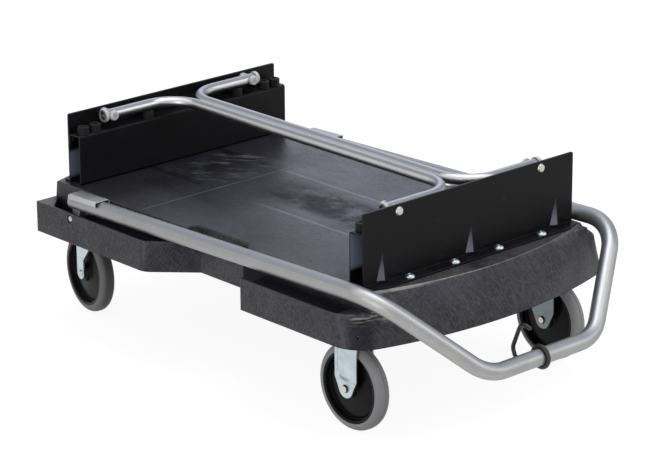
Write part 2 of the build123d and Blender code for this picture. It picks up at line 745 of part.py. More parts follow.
# U shaped rails, and the ring collars on their open arm ends
arm_end = pivot_spread + arm_tail
for name, side in sides.items():
    with BuildPart() as rail:
        with BuildLine() as rail_route:
            FilletPolyline(
                (mid_x - arm_x, side * arm_end, rail_z),
                (mid_x - arm_x, side * bar_y, rail_z),
                (mid_x + arm_x, side * bar_y, rail_z),
                (mid_x + arm_x, side * arm_end, rail_z),
                radius=rail_bend,
            )
        with BuildSketch(Plane(rail_route.line @ 0, z_dir=rail_route.line % 0)):
            Circle(rail_r)
            Circle(rail_r - rail_wall, mode=Mode.SUBTRACT)
        sweep()
        with BuildSketch(Plane.YZ.offset(mid_x - arm_x - rail_d)):
            with Locations((side * pivot_spread, rail_z)):
                Circle(rail_pin_r + fit_gap)
        extrude(amount=2 * (arm_x + rail_d), mode=Mode.SUBTRACT)
    rail.part.label = f"{name}_rail"
    export_step(rail.part, f"parts/{name}_rail.step")

    with BuildPart() as collars:
        for x in (mid_x - arm_x, mid_x + arm_x):
            out = Plane((x, side * arm_end, rail_z), x_dir=(1, 0, 0), z_dir=(0, side, 0))
            with BuildSketch(out):
                Circle(collar_r)
            extrude(amount=collar_lip)
            with BuildSketch(out):
                Circle(collar_r)
            extrude(amount=collar_lip - collar_length)
            with BuildSketch(out):
                Circle(rail_r + seat_gap)
            extrude(amount=collar_lip - collar_length, mode=Mode.SUBTRACT)
            with BuildSketch(out):
                Circle(rail_r - rail_wall)
            extrude(amount=collar_lip, mode=Mode.SUBTRACT)
        collar_rims = collars.edges().filter_by(GeomType.CIRCLE)
        fillet(collar_rims.filter_by(lambda rim: rim.radius > collar_r - fit_gap), radius=collar_lip)
    collars.part.label = f"{name}_rail_collars"
    export_step(collars.part, f"parts/{name}_rail_collars.step")


def leg_plane(side, x):
    """Cross section plane of a handle leg, x along the leg from its pivot."""
    foot = Vector(pivot_x, side * leg_spread, leg_z)
    return Plane(foot + leg_way * x, x_dir=(0, 1, 0), z_dir=leg_way)


# Push handle: two legs, two dog-legs that fall and close in, and the crossbar
dogleg_z = leg_z + (dogleg_reach + pivot_reach) * tan(radians(leg_tilt))
with BuildPart() as push_handle:
    right_half = [
        Vector(pivot_x, -leg_spread, leg_z) - leg_way * handle_tail,
        Vector(mid_x + dogleg_reach, -leg_spread, dogleg_z),
        Vector(mid_x + crossbar_reach, -crossbar_half, crossbar_height),
    ]
    left_half = [Vector(p.X, -p.Y, p.Z) for p in reversed(right_half)]
    with BuildLine() as handle_route:
        FilletPolyline(
            *right_half, *left_half, radius=[dogleg_bend, crossbar_bend, crossbar_bend, dogleg_bend]
        )
    with BuildSketch(Plane(handle_route.line @ 0, z_dir=handle_route.line % 0)):
        Circle(handle_r)
        Circle(handle_r - handle_wall, mode=Mode.SUBTRACT)
    sweep()
push_handle.part.label = "push_handle"
export_step(push_handle.part, "parts/push_handle.step")

with BuildPart() as handle_end_plugs:
    for side in sides.values():
        tail = leg_plane(side, -handle_tail)
        with BuildSketch(tail):
            Circle(handle_r - handle_wall - seat_gap)
        extrude(amount=plug_length)
        with BuildSketch(tail):
            Circle(handle_r)
        extrude(amount=-plug_flange, taper=30)
handle_end_plugs.part.label = "handle_end_plugs"
export_step(handle_end_plugs.part, "parts/handle_end_plugs.step")

# Saddles: flat topped sheet covers spot welded over the handle's ends
saddle_half = handle_r + saddle_gap + saddle_sheet
with BuildPart() as handle_saddles:
    for side in sides.values():
        with BuildSketch(leg_plane(side, -saddle_rear)) as saddle_section:
            with Locations((0, saddle_half - saddle_side / 2)):
                Rectangle(2 * saddle_half, saddle_side)
            fillet(saddle_section.vertices().group_by(Axis.Y)[-1], radius=saddle_corner)
            with Locations((0, saddle_half - saddle_side / 2 - saddle_sheet)):
                Rectangle(2 * (saddle_half - saddle_sheet), saddle_side, mode=Mode.SUBTRACT)
        extrude(amount=saddle_rear + saddle_front)
handle_saddles.part.label = "handle_saddles"
export_step(handle_saddles.part, "parts/handle_saddles.step")

# Lugs under the handle's ends, which turn on the pivot pins
with BuildPart() as handle_pivot_lugs:
    for side in sides.values():
        with BuildSketch(Plane.XZ.offset(-side * leg_spread)):
            with BuildLine():
                Polyline(
                    (pivot_x - lug_length / 2, leg_z),
                    (pivot_x + lug_length / 2, leg_z),
                    (pivot_x + lug_eye_r, pivot_z),
                    (pivot_x - lug_eye_r, pivot_z),
                    close=True,
                )
            make_face()
            with Locations((pivot_x, pivot_z)):
                Circle(lug_eye_r)
        extrude(amount=lug_width / 2, both=True)
        with BuildSketch(leg_plane(side, -lug_length)):
            Circle(handle_r + seat_gap)
            with Locations((0, handle_r)):
                Rectangle(handle_d, handle_d)
        extrude(amount=2 * lug_length, mode=Mode.SUBTRACT)
        with BuildSketch(Plane.XZ.offset(-side * leg_spread)):
            with Locations((pivot_x, pivot_z)):
                Circle(handle_pin_r + fit_gap)
        extrude(amount=lug_width, both=True, mode=Mode.SUBTRACT)
handle_pivot_lugs.part.label = "handle_pivot_lugs"
export_step(handle_pivot_lugs.part, "parts/handle_pivot_lugs.step")

with BuildPart() as handle_pivot_pins:
    for side in sides.values():
        with BuildSketch(Plane.XZ.offset(-side * (half_width - eye_depth / 2))):
            with Locations((pivot_x, pivot_z)):
                Circle(handle_pin_r)
        extrude(amount=side * (half_width - eye_depth / 2 - half_platform + lug_eye_r - soft_gap))
handle_pivot_pins.part.label = "handle_pivot_pins"
export_step(handle_pivot_pins.part, "parts/handle_pivot_pins.step")

# Wire hook: a ring round the crossbar, a run behind it and an open hook above it
crossbar_x = mid_x + crossbar_reach
with BuildPart() as wire_hook:
    with BuildLine() as hook_route:
        FilletPolyline(
            (crossbar_x - hook_ring_r, hook_ring_y, crossbar_height),
            (crossbar_x - hook_ring_r - hook_step, hook_y, crossbar_height),
            (crossbar_x + hook_knee[0], hook_y, crossbar_height + hook_knee[1]),
            (crossbar_x + hook_crown[0], hook_y, crossbar_height + hook_crown[1]),
            (crossbar_x + hook_tip[0], hook_y, crossbar_height + hook_tip[1]),
            radius=[hook_root_bend, hook_bend, hook_bend],
        )
    with BuildSketch(Plane(hook_route.line @ 0, z_dir=hook_route.line % 0)):
        Circle(wire_r)
    sweep()
    with Locations(Location((crossbar_x, hook_ring_y, crossbar_height), (90, 0, 0))):
        Torus(hook_ring_r, wire_r)
    with Locations(hook_route.line @ 1):
        Sphere(wire_r)
wire_hook.part.label = "wire_hook"
export_step(wire_hook.part, "parts/wire_hook.step")

# Casters: each has a base plane on the floor under its fixing, x along the wheel
turn = radians(rear_caster_turn)
rear_way = (cos(turn), sin(turn), 0)
leg_in = fork_gap / 2
plate_under = caster_height - caster_sheet
race_under = plate_under - race_depth
crown_top = race_under - washer - soft_gap
crown_under = crown_top - crown
plate_places = {}
caster_bases = {}
for name, side in sides.items():
    front_spot = (mid_x + front_caster_reach, side * front_caster_y, 0)
    rear_spot = (mid_x - rear_caster_reach, side * rear_caster_y, 0)
    plate_places[f"front_{name}"] = Plane(front_spot)
    plate_places[f"rear_{name}"] = Plane(rear_spot)
    caster_bases[f"front_{name}"] = Plane(front_spot)
    caster_bases[f"rear_{name}"] = Plane(rear_spot, x_dir=rear_way, z_dir=(0, 0, 1))


def axle_x(caster):
    """Axle's place along the wheel: under the fixing, or trailing behind a kingpin."""
    return -trail if caster.startswith("rear") else 0


def fork_leg(caster, y, corners, eye_r):
    """One leg of a fork: its corners from the axle, along the wheel and up, and a round eye."""
    hub_x = axle_x(caster)
    with BuildSketch(across(caster_bases[caster], y)) as leg:
        with BuildLine():
            Polyline(*[(hub_x + x, wheel_r + z) for x, z in corners], close=True)
        make_face()
        with Locations((hub_x, wheel_r)):
            Circle(eye_r)
            Circle(axle_r + seat_gap, mode=Mode.SUBTRACT)
    extrude(leg.sketch, amount=fork_sheet)


def caster_plate(caster):
    """Top plate with its four bolt holes."""
    with BuildSketch(plate_places[caster].offset(plate_under)) as outline:
        Rectangle(plate_x, plate_y)
        fillet(outline.vertices(), radius=plate_round)
        with GridLocations(bolt_x, bolt_y, 2, 2):
            Circle(bolt_r + fit_gap, mode=Mode.SUBTRACT)
    extrude(outline.sketch, amount=caster_sheet)


front_leg = front_leg_width / 2
front_eye = (front_eye_r * cos(radians(front_eye_low)), -front_eye_r * sin(radians(front_eye_low)))
front_leg_corners = [
    (-front_leg, plate_under - wheel_r),
    (front_leg, plate_under - wheel_r),
    (front_leg, front_leg_shoulder),
    front_eye,
    (-front_eye[0], front_eye[1]),
    (-front_leg, front_leg_shoulder),
]
rear_leg_corners = [
    (-rear_eye_r, crown_under - wheel_r),
    (trail + crown_front, crown_under - wheel_r),
    (rear_leg_reach, rear_leg_flare),
    (rear_eye_r, rear_leg_waist),
    (rear_eye_r, 0),
    (-rear_eye_r, 0),
]
for name in sides:
    with BuildPart() as fixed_fork:
        caster_plate(f"front_{name}")
        for y in (leg_in + fork_sheet, -leg_in):
            fork_leg(f"front_{name}", y, front_leg_corners, front_eye_r)
    fixed_fork.part.label = f"front_{name}_fork"
    export_step(fixed_fork.part, f"parts/front_{name}_fork.step")

    with BuildPart() as swivel_plate:
        caster_plate(f"rear_{name}")
        with BuildSketch(plate_places[f"rear_{name}"].offset(plate_under)):
            Circle(race_r)
        extrude(amount=-race_depth, taper=20)
        with BuildSketch(plate_places[f"rear_{name}"].offset(race_under)):
            Circle(kingpin_r + seat_gap)
        extrude(amount=caster_height - race_under, mode=Mode.SUBTRACT)
    swivel_plate.part.label = f"rear_{name}_caster_plate"
    export_step(swivel_plate.part, f"parts/rear_{name}_caster_plate.step")

    with BuildPart() as swivel_fork:
        base = caster_bases[f"rear_{name}"]
        crown_rear = -trail - rear_eye_r
        with BuildSketch(base.offset(crown_under)):
            Circle(crown_r)
            with Locations(((crown_rear + crown_front) / 2, 0)):
                Rectangle(crown_front - crown_rear, fork_gap + 2 * fork_sheet)
            Circle(kingpin_r + fit_gap, mode=Mode.SUBTRACT)
        extrude(amount=crown)
        for y in (leg_in + fork_sheet, -leg_in):
            fork_leg(f"rear_{name}", y, rear_leg_corners, rear_eye_r)
    swivel_fork.part.label = f"rear_{name}_fork"
    export_step(swivel_fork.part, f"parts/rear_{name}_fork.step")

with BuildPart() as swivel_washers:
    for name in sides:
        with BuildSketch(plate_places[f"rear_{name}"].offset(race_under)):
            Circle(washer_r)
            Circle(kingpin_r + soft_gap, mode=Mode.SUBTRACT)
        extrude(amount=-washer)
swivel_washers.part.label = "swivel_washers"
export_step(swivel_washers.part, "parts/swivel_washers.step")

nut_top = crown_under - soft_gap
with BuildPart() as caster_kingpins:
    for name in sides:
        with BuildSketch(plate_places[f"rear_{name}"].offset(nut_top - kingpin_nut - overcut)):
            Circle(kingpin_r)
        extrude(amount=caster_height - nut_top + kingpin_nut + overcut)
caster_kingpins.part.label = "caster_kingpins"
export_step(caster_kingpins.part, "parts/caster_kingpins.step")

with BuildPart() as kingpin_nuts:
    for name in sides:
        with BuildSketch(plate_places[f"rear_{name}"].offset(nut_top)):
            RegularPolygon(kingpin_flat / 2, 6, major_radius=False)
            Circle(kingpin_r + seat_gap, mode=Mode.SUBTRACT)
        extrude(amount=-kingpin_nut)
kingpin_nuts.part.label = "kingpin_nuts"
export_step(kingpin_nuts.part, "parts/kingpin_nuts.step")

with BuildPart() as caster_bolts:
    for base in plate_places.values():
        with BuildSketch(base.offset(plate_under)):
            with GridLocations(bolt_x, bolt_y, 2, 2):
                RegularPolygon(hex_flat / 2, 6, major_radius=False)
        extrude(amount=-hex_head)
        with BuildSketch(base.offset(plate_under)):
            with GridLocations(bolt_x, bolt_y, 2, 2):
                Circle(bolt_r)
        extrude(amount=caster_sheet + bolt_grip)
caster_bolts.part.label = "caster_bolts"
export_step(caster_bolts.part, "parts/caster_bolts.step")

# Axles, and the wheels: core, bush and tyre, all round the axle
leg_out = leg_in + fork_sheet
wheel_planes = {}
for caster, base in caster_bases.items():
    hub = base.from_local_coords((axle_x(caster), 0, wheel_r))
    wheel_planes[caster] = Plane(hub, x_dir=base.y_dir, z_dir=base.x_dir)


def axle(caster):
    """Riveted axle with a round head on each side of the fork."""
    plane = wheel_planes[caster]
    with BuildSketch(plane) as section:
        with BuildLine():
            Polyline(
                (-leg_out - axle_head, 0),
                (leg_out + axle_head, 0),
                (leg_out + axle_head, axle_r),
                (leg_out, axle_head_r),
                (leg_out, axle_r),
                (-leg_out, axle_r),
                (-leg_out, axle_head_r),
                (-leg_out - axle_head, axle_r),
                close=True,
            )
        make_face()
    revolve(section.sketch, axis=Axis(plane.origin, plane.x_dir))


with BuildPart() as front_axles:
    for name in sides:
        axle(f"front_{name}")
front_axles.part.label = "front_axles"
export_step(front_axles.part, "parts/front_axles.step")

for name in sides:
    with BuildPart() as rear_axle:
        axle(f"rear_{name}")
    rear_axle.part.label = f"rear_{name}_axle"
    export_step(rear_axle.part, f"parts/rear_{name}_axle.step")

rim_r = wheel_r - tyre_depth
disc_edge = web / 2 + step_height
for caster, plane in wheel_planes.items():
    spin = Axis(plane.origin, plane.x_dir)

    with BuildPart() as wheel_core:
        with BuildSketch(plane):
            with BuildLine():
                Polyline(
                    (-hub_length / 2, bush_r + seat_gap),
                    (hub_length / 2, bush_r + seat_gap),
                    (hub_length / 2, hub_d / 2),
                    (disc_edge + dome, hub_d / 2),
                    (disc_edge, step_r),
                    (web / 2, step_r),
                    (web / 2, rim_r - rim_wall),
                    (rim_width / 2, rim_r - rim_wall),
                    (rim_width / 2, rim_r),
                    (-rim_width / 2, rim_r),
                    (-rim_width / 2, rim_r - rim_wall),
                    (-web / 2, rim_r - rim_wall),
                    (-web / 2, step_r),
                    (-disc_edge, step_r),
                    (-disc_edge - dome, hub_d / 2),
                    (-hub_length / 2, hub_d / 2),
                    close=True,
                )
            make_face()
        revolve(axis=spin)
    wheel_core.part.label = f"{caster}_wheel_core"
    export_step(wheel_core.part, f"parts/{caster}_wheel_core.step")

    with BuildPart() as wheel_bush:
        with BuildSketch(plane):
            with Locations((0, (axle_r + fit_gap + bush_r) / 2)):
                Rectangle(bush_length, bush_r - axle_r - fit_gap)
        revolve(axis=spin)
    wheel_bush.part.label = f"{caster}_wheel_bush"
    export_step(wheel_bush.part, f"parts/{caster}_wheel_bush.step")

    with BuildPart() as tyre:
        with BuildSketch(plane) as tyre_section:
            tread_r = rim_r + seat_gap
            with Locations((0, (tread_r + wheel_r) / 2)):
                Rectangle(tyre_width, wheel_r - tread_r)
            fillet(tyre_section.vertices().group_by(Axis.Y)[-1], radius=tyre_round)
        revolve(axis=spin)
    tyre.part.label = f"{caster}_tyre"
    export_step(tyre.part, f"parts/{caster}_tyre.step")
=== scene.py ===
import bpy
import json
import numpy as np
from math import cos, pi, radians, sin
from mathutils import Matrix, Vector


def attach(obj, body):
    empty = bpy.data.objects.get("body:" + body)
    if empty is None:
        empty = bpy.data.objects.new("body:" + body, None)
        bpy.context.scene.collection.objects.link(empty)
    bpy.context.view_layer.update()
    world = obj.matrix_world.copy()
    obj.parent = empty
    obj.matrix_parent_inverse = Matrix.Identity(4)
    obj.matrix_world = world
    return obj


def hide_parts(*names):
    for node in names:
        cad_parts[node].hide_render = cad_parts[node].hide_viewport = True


# %% [markdown]
# # A folding platform cart for ice bins
# The cart is a low moulded deck on four casters. Black sheet plates stand at both ends and carry two tube
# rails, and a bent push handle lies folded flat round the deck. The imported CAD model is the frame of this
# scene: each node keeps its place and its shape, and this file adds finishes, soft edges and finer pieces.

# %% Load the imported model
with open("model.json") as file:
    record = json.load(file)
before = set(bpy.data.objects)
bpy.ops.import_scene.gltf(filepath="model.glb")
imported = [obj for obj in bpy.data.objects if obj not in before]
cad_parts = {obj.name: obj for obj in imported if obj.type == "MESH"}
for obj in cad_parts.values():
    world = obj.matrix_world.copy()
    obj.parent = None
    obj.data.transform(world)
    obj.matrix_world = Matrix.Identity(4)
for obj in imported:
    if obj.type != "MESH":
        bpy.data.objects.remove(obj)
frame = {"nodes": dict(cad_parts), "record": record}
nodes = frame["nodes"]
joints = {joint["name"]: joint for joint in frame["record"]["behaviour"]["joints"]}
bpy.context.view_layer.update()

# %% [markdown]
# ## Building surfaces from arrays
# Every new piece here is a sheet of points on a grid: one parameter runs along the piece and one runs round
# it. Turned parts and bent tubes both fit that picture. Each could be made from a curve or with modifiers,
# but a whole grid computed at once with numpy is quick and keeps the formula readable.

# %% Grid to mesh
MM = 0.001


def sheet_mesh(name, grid, uv=None, sharp=40.0):
    """Mesh of the grid points P(i, j): one quad per cell, with the last row and column joined to the first.

    A stack of equal grids gives one mesh with a copy for each. uv gives a pair per grid line crossing, in
    metres, with one row and one column more for the join.
    """
    rows, cols = grid.shape[-3:-1]
    count = grid.size // (rows * cols * 3)
    i, j = (index.ravel() for index in np.indices((rows, cols)))
    corners = [(i, j), (i + 1, j), (i + 1, j + 1), (i, j + 1)]
    faces = np.stack([(a % rows) * cols + b % cols for a, b in corners], axis=1)
    points = grid.reshape(-1, 3)
    a, b, c, d = (points[faces[:, k]] for k in range(4))
    volume = np.einsum("ij,ij->i", a, np.cross(b, c) + np.cross(c, d)).sum()
    if volume < 0:
        faces, corners = faces[:, ::-1], corners[::-1]
    faces = (np.arange(count)[:, None, None] * rows * cols + faces).reshape(-1, 4)
    mesh = bpy.data.meshes.new(name)
    mesh.from_pydata(points.tolist(), [], faces.tolist())
    if uv is not None:
        layer = mesh.uv_layers.new(name="run")
        pairs = np.stack([uv[a, b] for a, b in corners], axis=1)
        layer.uv.foreach_set("vector", pairs.astype(np.float32).ravel())
    mesh.polygons.foreach_set("use_smooth", np.ones(len(faces), dtype=bool))
    mesh.set_sharp_from_angle(angle=radians(sharp))
    mesh.update()
    return mesh


def piece(name, mesh, body, slot, finish, *stands_for):
    """Object of a mesh that rides on a CAD body, takes a finish and stands for CAD nodes."""
    made = bpy.data.objects.new(name, mesh)
    bpy.context.scene.collection.objects.link(made)
    made.data.materials.append(finish)
    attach(made, body)
    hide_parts(*stands_for)


print("grid helper ready")

# %% [markdown]
# ## Building finishes from nodes
# A finish is a small network of nodes. It could be wired by hand in the shader editor, but a script can be
# read and changed later. These helpers place one node or do one sum, so that each network below reads like
# a recipe. A mask is a value from zero to one that says where a mark shows.

# %% Node helpers


def put(tree, kind, feeds=None, **settings):
    """New node with its settings, and its inputs linked or set by name or number."""
    node = tree.nodes.new(kind)
    for key, value in settings.items():
        setattr(node, key, value)
    for key, value in (feeds or {}).items():
        if isinstance(value, bpy.types.NodeSocket):
            tree.links.new(value, node.inputs[key])
        else:
            node.inputs[key].default_value = value
    return node


def calc(tree, operation, a, b=0.0, c=0.0):
    """Result of one sum on values."""
    return put(tree, "ShaderNodeMath", {0: a, 1: b, 2: c}, operation=operation).outputs[0]


def product(tree, first, *others):
    """Product of several values, which keeps a mark to where all of its masks show."""
    for other in others:
        first = calc(tree, "MULTIPLY", first, other)
    return first


def lift(tree, mask, share, base):
    """Base value raised by a share of a mask."""
    return calc(tree, "MULTIPLY_ADD", mask, share, base)


def fade(tree, value, low, high, start=0.0, stop=1.0):
    """Smooth step of a value from start to stop between two limits."""
    feeds = {"Value": value, "From Min": low, "From Max": high, "To Min": start, "To Max": stop}
    return put(tree, "ShaderNodeMapRange", feeds, interpolation_type="SMOOTHSTEP").outputs[0]


def band(tree, value, start, stop, soft):
    """Mask that is one between two values and fades out over a soft width beyond each."""
    rise = fade(tree, value, start - soft, start)
    return product(tree, rise, fade(tree, value, stop, stop + soft, 1.0, 0.0))


def cloud(tree, vector, scale, detail=3.0, roughness=0.55, distortion=0.0):
    """Soft noise value between about 0.2 and 0.8."""
    feeds = {"Vector": vector, "Scale": scale, "Detail": detail, "Roughness": roughness}
    return put(tree, "ShaderNodeTexNoise", {**feeds, "Distortion": distortion}).outputs[0]


def split(tree, vector):
    """The three parts of a vector."""
    return put(tree, "ShaderNodeSeparateXYZ", {0: vector}).outputs


def facing(tree):
    """The three parts of the surface normal: ahead, aside and upward."""
    return split(tree, put(tree, "ShaderNodeNewGeometry").outputs["Normal"])


print("node helpers ready")

# %% [markdown]
# Colours are laid in layers, as a painter glazes: each layer has a mask, the share that it covers at most
# and a colour. A finish then needs only a look, a function that gives its colour, roughness and bump, and
# one shader takes them up.

# %% Colour layers and the finish


def tint(tree, factor, a, b):
    """Blend of two colours, each a socket or its red, green and blue."""
    a, b = ((*colour, 1.0) if isinstance(colour, tuple) else colour for colour in (a, b))
    return put(tree, "ShaderNodeMix", {0: factor, 6: a, 7: b}, data_type="RGBA").outputs[2]


def stain(tree, base, *layers):
    """Base colour with layers laid over it in turn: each has a mask, a share and a colour."""
    for mask, share, colour in layers:
        base = tint(tree, product(tree, mask, share), base, colour)
    return base


def finish(name, look, metallic=0.0, specular=0.5, shine=(1.0, 1.0, 1.0), edge=0.0, where="Object"):
    """Material whose look function gives its colour, roughness and bump height from the coordinates.

    The shine colours the reflection. An edge radius, in metres, rounds the shading of sharp edges.
    """
    made = bpy.data.materials.new(name)
    made.use_nodes = True
    tree = made.node_tree
    tree.nodes.clear()
    coordinates = put(tree, "ShaderNodeTexCoord").outputs[where]
    colour, roughness, height, depth = look(tree, coordinates)
    bump = put(tree, "ShaderNodeBump", {"Strength": 1.0, "Distance": depth, "Height": height})
    if edge:
        rounded = put(tree, "ShaderNodeBevel", {"Radius": edge}, samples=6)
        tree.links.new(rounded.outputs[0], bump.inputs["Normal"])
    feeds = {
        "Base Color": colour,
        "Roughness": roughness,
        "Metallic": metallic,
        "Specular IOR Level": specular,
        "Specular Tint": (*shine, 1.0),
        "Normal": bump.outputs[0],
    }
    shader = put(tree, "ShaderNodeBsdfPrincipled", feeds)
    put(tree, "ShaderNodeOutputMaterial", {"Surface": shader.outputs[0]})
    return made


print("layers and finish ready")

# %% [markdown]
# ## Effects that several finishes share
# Moulded plastic, powder coat and rubber all have a fine grain. Used plastic, tube and zinc all have hair
# scuffs, which are long thin contour lines of a stretched noise. Faces that look up gather a little dust.
# An edge is found where a rounded normal leaves the true one, and such edges are painted pale, partly as
# wear from hands and loads and partly as painted highlight. Deep recesses see little of the sky, and
# painted shade darkens them there. Each effect is a node group, built once and placed in a finish with its
# own values, so that a change to it reaches every finish.

# %% Group helpers


def group(name, inputs, outputs):
    """Empty shader group with named sockets: the group, the sockets it is given and those it gives."""
    tree = bpy.data.node_groups.new(name, "ShaderNodeTree")
    for label, default in inputs.items():
        kind = "NodeSocketVector" if default is None else "NodeSocketFloat"
        socket = tree.interface.new_socket(label, in_out="INPUT", socket_type=kind)
        if default is not None:
            socket.default_value = default
    for label in outputs:
        tree.interface.new_socket(label, in_out="OUTPUT", socket_type="NodeSocketFloat")
    print(name, "takes", list(inputs), "and gives", outputs)
    return tree, put(tree, "NodeGroupInput").outputs, put(tree, "NodeGroupOutput").inputs


def use(tree, shared, **feeds):
    """A shared group placed in a finish with its own values."""
    return put(tree, "ShaderNodeGroup", feeds, node_tree=shared).outputs


def drawn_out(tree, vector, rotation, stretch):
    """Coordinates turned and stretched along their own y, so that noise on them becomes strokes."""
    scale = put(tree, "ShaderNodeCombineXYZ", {0: 1.0, 1: stretch, 2: 1.0}).outputs[0]
    feeds = {"Vector": vector, "Rotation": rotation, "Scale": scale}
    return put(tree, "ShaderNodeMapping", feeds, vector_type="TEXTURE").outputs[0]


print("group helpers ready")

# %% Fine grain group
fine_grain, given, gives = group("fine grain", {"Vector": None, "Scale": 900.0}, ["Height", "Patch"])
grain = cloud(fine_grain, given["Vector"], given["Scale"], 2.0, 0.6)
wide = calc(fine_grain, "MULTIPLY", given["Scale"], 0.013)
patch = cloud(fine_grain, given["Vector"], wide, 4.0, 0.6)
fine_grain.links.new(grain, gives["Height"])
fine_grain.links.new(fade(fine_grain, patch, 0.35, 0.65), gives["Patch"])

# %% Hair scuff group
hair_scuffs, given, gives = group(
    "hair scuffs", {"Vector": None, "Scale": 300.0, "Stretch": 16.0, "Turn": 0.8, "Width": 0.03}, ["Mask"]
)
lean = calc(hair_scuffs, "MULTIPLY", given["Turn"], 0.7)
turn = put(hair_scuffs, "ShaderNodeCombineXYZ", {0: given["Turn"], 1: lean, 2: 0.6}).outputs[0]
placed = drawn_out(hair_scuffs, given["Vector"], turn, given["Stretch"])
lines = cloud(hair_scuffs, placed, given["Scale"], 2.0, 0.5)
off_line = calc(hair_scuffs, "ABSOLUTE", calc(hair_scuffs, "SUBTRACT", lines, 0.5))
line = fade(hair_scuffs, off_line, 0.0, given["Width"], 1.0, 0.0)
wide = calc(hair_scuffs, "MULTIPLY", given["Scale"], 0.09)
where_used = fade(hair_scuffs, cloud(hair_scuffs, given["Vector"], wide, 3.0), 0.42, 0.62)
hair_scuffs.links.new(product(hair_scuffs, line, where_used), gives["Mask"])

# %% Flow streak group
flow_streaks, given, gives = group(
    "flow streaks", {"Vector": None, "Scale": 160.0, "Stretch": 7.0}, ["Mask"]
)
ways = []
for way in ((0.95, 0.0, -0.70), (0.80, 0.0, 2.45)):
    placed = drawn_out(flow_streaks, given["Vector"], way, given["Stretch"])
    ways.append(cloud(flow_streaks, placed, given["Scale"], 4.0, 0.62))
crossed = calc(flow_streaks, "MAXIMUM", *ways)
flow_streaks.links.new(fade(flow_streaks, crossed, 0.47, 0.74), gives["Mask"])

# %% Settled dust group
settled_dust, given, gives = group("settled dust", {"Vector": None, "Scale": 30.0}, ["Mask", "Upward"])
drift = cloud(settled_dust, given["Vector"], given["Scale"], 5.0, 0.6, 0.4)
looks_up = fade(settled_dust, facing(settled_dust)[2], 0.55, 0.95)
lain = product(settled_dust, looks_up, fade(settled_dust, drift, 0.35, 0.75))
settled_dust.links.new(lain, gives["Mask"])
settled_dust.links.new(looks_up, gives["Upward"])

# %% Pale edge group: wear and painted highlight
worn_edge_highlights, given, gives = group("rubbed edges", {"Radius": 0.0015}, ["Mask"])
rounded = put(worn_edge_highlights, "ShaderNodeBevel", {"Radius": given["Radius"]}, samples=6).outputs[0]
true_normal = put(worn_edge_highlights, "ShaderNodeNewGeometry").outputs["Normal"]
pair = {0: rounded, 1: true_normal}
alike = put(worn_edge_highlights, "ShaderNodeVectorMath", pair, operation="DOT_PRODUCT").outputs["Value"]
# The mask stands for rubbed wear and for painted highlights alike.
worn_edge_highlights.links.new(fade(worn_edge_highlights, alike, 0.99, 0.90), gives["Mask"])

# %% Painted occlusion shade group
occlusion_shade, given, gives = group("gathered grime", {"Reach": 0.05}, ["Mask"])
reach = {"Distance": given["Reach"]}
# Painted shade: the mask is highest where ambient occlusion finds the surface enclosed.
openness = put(occlusion_shade, "ShaderNodeAmbientOcclusion", reach, samples=8).outputs["AO"]
occlusion_shade.links.new(fade(occlusion_shade, openness, 0.30, 0.95, 1.0, 0.0), gives["Mask"])

# %% [markdown]
# ## Marks and painted light on the deck
# The deck is one large moulding, and years of use have marked it. The marks could be painted on an image,
# but an image blurs close up. Here each is a mask worked out from where a point lies, in metres from the
# deck's middle and top, and from which way it faces. Some of the masks stand for light, not marks: painted
# shade, a painted shadow of the rails and painted highlights.

# %% Places on the deck
DECK_TOP = frame["record"]["mounts"][0]["pos_m"][2]
MIDDLE = joints["right_rail_fold"]["pos_m"][0]


def zone(tree, at, along=None, across=None, above=None, mirrored=False):
    """Mask of a soft box: spans (start, stop, soft width) along x from the middle, across y, above the top.

    A mirrored zone lies on both sides of the deck.
    """
    x, y, z = split(tree, at)
    if mirrored:
        y = calc(tree, "ABSOLUTE", y)
    masks = []
    for value, origin, span in ((x, MIDDLE, along), (y, 0.0, across), (z, DECK_TOP, above)):
        if span:
            start, stop, soft = span
            masks.append(band(tree, value, origin + start, origin + stop, soft))
    return product(tree, *masks)


print("deck top", round(DECK_TOP, 4), "middle", round(MIDDLE, 4))

# %% [markdown]
# Thick plastic shrinks as it cools, so the flat top sinks a little over the ribs below, and the pale sinks
# carry a painted highlight along them. A painted shadow of the rails, broken into blotches, runs along the
# middle, and pale slanting strokes cross its rear, as bins leave them that are pushed about. Some patches
# of the top are duller or more polished than the rest, and two at the rear are darkened with painted shade.

# %% Marks and painted light on the top
# Each sink mark has its span along the deck and its span across.
# The pale sinks are real sink marks; their pale colour is a painted highlight along the edges.
PALE_SINKS = [
    ((-0.10, 0.14, 0.06), (0.0628, 0.0672, 0.0022)),
    ((-0.02, 0.20, 0.06), (-0.0692, -0.0648, 0.0022)),
    ((-0.1466, -0.1454, 0.0016), (-0.198, 0.071, 0.02)),
]
DARK_SINKS = [
    ((-0.31, -0.19, 0.04), (0.0610, 0.0690, 0.005)),
    ((-0.31, -0.19, 0.04), (-0.0710, -0.0630, 0.005)),
]
# Each patch has its spans along and across, the roughness that it adds and its share of painted shade.
TOP_PATCHES = [
    ((-0.22, -0.08, 0.05), (-0.110, 0.040, 0.03), 0.03, 0.50),
    ((-0.33, -0.23, 0.05), (-0.213, 0.213, 0.03), -0.03, 0.35),
    ((-0.11, -0.04, 0.05), (0.090, 0.170, 0.03), -0.05, 0.0),
    ((-0.15, -0.03, 0.05), (-0.213, -0.160, 0.03), -0.06, 0.0),
]


def sink_marks(tree, at, spans):
    """Thin zones over the ribs, added up and kept to the flat top."""
    total = 0.0
    for along, across in spans:
        total = calc(tree, "ADD", zone(tree, at, along, across), total)
    return product(tree, total, fade(tree, split(tree, at)[2], DECK_TOP - 0.002, DECK_TOP - 0.001))


